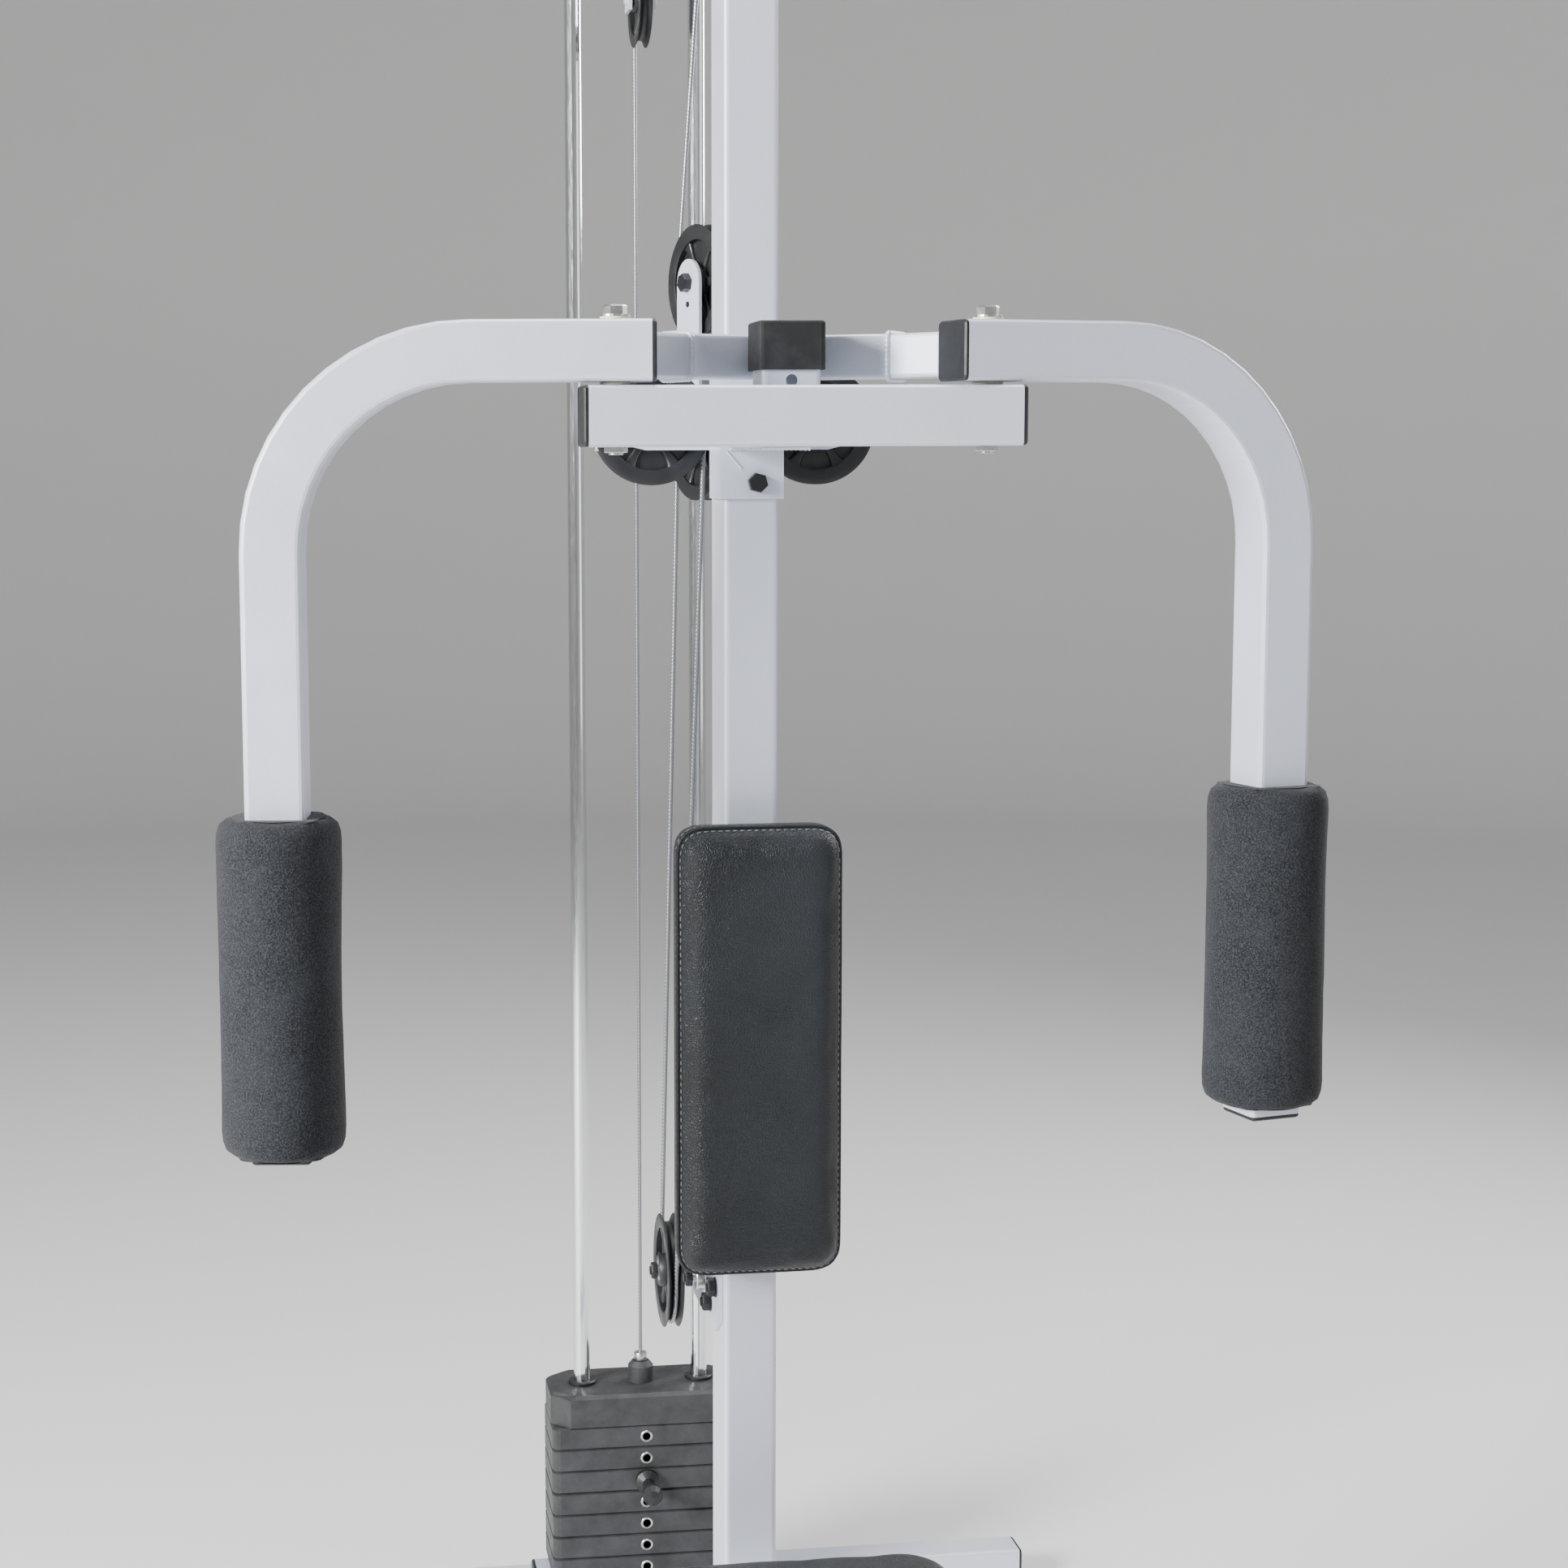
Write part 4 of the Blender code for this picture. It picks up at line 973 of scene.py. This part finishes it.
def make_pin_rings(node, body, count, first=0):
    """Steel rings round the pin holes, from the plate given by first upwards."""
    pitch = (high(node).z - low(node).z) / count
    ring = [(0.0, 0.0), (0.0048, 0.0), (0.0052, 0.0008), (0.0068, 0.0012), (0.0076, 0.0004), (0.0076, -0.003)]
    ring.append((0.0, -0.003))
    for i in range(first, count):
        hole = (0, low(node).y, low(node).z + (i + 0.5) * pitch)
        turned_piece(f"{node}_pin_ring_{i}", ring, hole, -Y, "zinc", 28, body)


def make_rod_trim(side):
    """Bush in the stack's head and collar under the top plate, round a guide rod."""
    x, y = middle(f"{side}_guide_rod").x, middle("stack_head").y
    head_face = high("lifted_plates").z + 0.040
    bush = [(0.0107, 0), (0.0165, 0), (0.0175, 0.0008), (0.0175, 0.0035), (0.0160, 0.0050), (0.0107, 0.0050)]
    bush_at = (x, y, head_face + 0.0004)
    turned_piece(f"{side}_head_bush", bush, bush_at, Z, "black_plastic", 40, "weight_stack")
    collar = [(0.0105, 0), (0.0160, 0), (0.0170, 0.001), (0.0170, 0.013), (0.0160, 0.014), (0.0105, 0.014)]
    collar_at = (x, y, low("rod_top_plate").z - 0.0003)
    turned_piece(f"{side}_rod_top_collar", collar, collar_at, -Z, "zinc", 40)


def make_small_parts():
    make_end_caps()
    make_low_bracket_bolts()
    make_block_hole_shade()
    make_saddle_fold()
    make_pin_rings("lower_plates", "root", 4)
    make_pin_rings("lifted_plates", "weight_stack", 3, first=1)  # the selector pin is in the lowest of these
    for side in SIGN:
        make_rod_trim(side)


for pad, facing in (("back_pad", (0, -1, 0)), ("seat_pad", (0, 0, 1))):
    make_pad(pad, facing)
make_board()
for arm_side in SIGN:
    make_roller(arm_side)
for pulley_name in PULLEY_AXES:
    make_pulley(pulley_name)
make_cables()
make_welds()
make_small_parts()

# ---------------------------------------------------------------- stage, lights, camera

FLOOR_GAP = 0.0005
STAGE_RADIUS, STAGE_BEND, STAGE_WALL = 8.5, 2.5, 12.0
STAGE_SIDES, BEND_STEPS = 96, 16


def make_stage():
    """Round pale floor that curves up into a wall."""
    bm = bmesh.new()
    outline = [(STAGE_RADIUS, 0.0)]
    for i in range(1, BEND_STEPS + 1):
        a = math.pi / 2 * i / BEND_STEPS
        outline.append((STAGE_RADIUS + STAGE_BEND * math.sin(a), STAGE_BEND * (1 - math.cos(a))))
    outline.append((STAGE_RADIUS + STAGE_BEND, STAGE_WALL))
    angles = [2 * math.pi * i / STAGE_SIDES for i in range(STAGE_SIDES)]
    rings = []
    for radius, z in outline:
        ring = [(radius * math.cos(a), radius * math.sin(a), z - FLOOR_GAP) for a in angles]
        rings.append([bm.verts.new(p) for p in ring])
    bm.faces.new(rings[0])
    for first, second in zip(rings, rings[1:]):
        bridge(bm, first, second)
    material = bpy.data.materials.new("studio_floor")
    material.use_nodes = True
    shader = material.node_tree.nodes["Principled BSDF"]
    shader.inputs["Base Color"].default_value = (0.80, 0.80, 0.79, 1)
    shader.inputs["Roughness"].default_value = 0.65
    finish_mesh("studio_floor", bm, material, 60)


def make_light(name, place, aim, size, power, colour):
    data = bpy.data.lights.new(name, "AREA")
    data.shape, data.size, data.size_y = "RECTANGLE", *size
    data.energy, data.color = power, colour
    light = bpy.data.objects.new(name, data)
    light.location = place
    light.rotation_euler = (Vector(aim) - Vector(place)).to_track_quat("-Z", "Y").to_euler()
    bpy.context.scene.collection.objects.link(light)


def make_lights():
    """Strong soft key from the left, weak fill from the right, a top light and a rim light from behind."""
    make_light("key", (-3.6, -2.1, 2.5), (0, -0.4, 1.3), (1.3, 1.3), 520, WHITE)
    make_light("fill", (3.2, -2.4, 1.8), (0, -0.2, 1.2), (1.6, 2.2), 14, (0.96, 0.98, 1))
    make_light("top", (0.2, -0.2, 4.4), (0, 0, 1), (2.2, 2.2), 100, WHITE)
    make_light("rim", (2.6, 1.9, 2.9), (0, 0, 1.4), (1.2, 1.8), 110, WHITE)
    world = bpy.data.worlds.new("studio")
    world.use_nodes = True
    background = world.node_tree.nodes["Background"]
    background.inputs["Color"].default_value = (0.82, 0.84, 0.88, 1)
    background.inputs["Strength"].default_value = 0.26
    bpy.context.scene.world = world


def make_camera():
    """Camera at eye height, left of the middle, looking slightly right and down."""
    place = Vector((-0.44463, UPRIGHT_FRONT - 2.50467, CROSS_TOP - 0.060))
    yaw, pitch, roll = math.radians(7.559), math.radians(6.83), math.radians(-0.266)
    level = Vector((math.sin(yaw), math.cos(yaw), 0))
    forward = level * math.cos(pitch) - Z * math.sin(pitch)
    right = Vector((math.cos(yaw), -math.sin(yaw), 0))
    up = right.cross(forward)
    rolled_right = right * math.cos(roll) + up * math.sin(roll)
    rolled_up = up * math.cos(roll) - right * math.sin(roll)
    axes = (rolled_right, rolled_up, -forward)
    data = bpy.data.cameras.new("camera")
    data.lens, data.sensor_width, data.sensor_fit = 62.43, 36.0, "HORIZONTAL"
    data.shift_x = 0.0963
    data.dof.use_dof = False
    data.clip_end = 60
    camera = bpy.data.objects.new("camera", data)
    camera.matrix_world = Matrix.Translation(place) @ Matrix(axes).transposed().to_4x4()
    bpy.context.scene.collection.objects.link(camera)
    bpy.context.scene.camera = camera


make_stage()
make_camera()
make_lights()
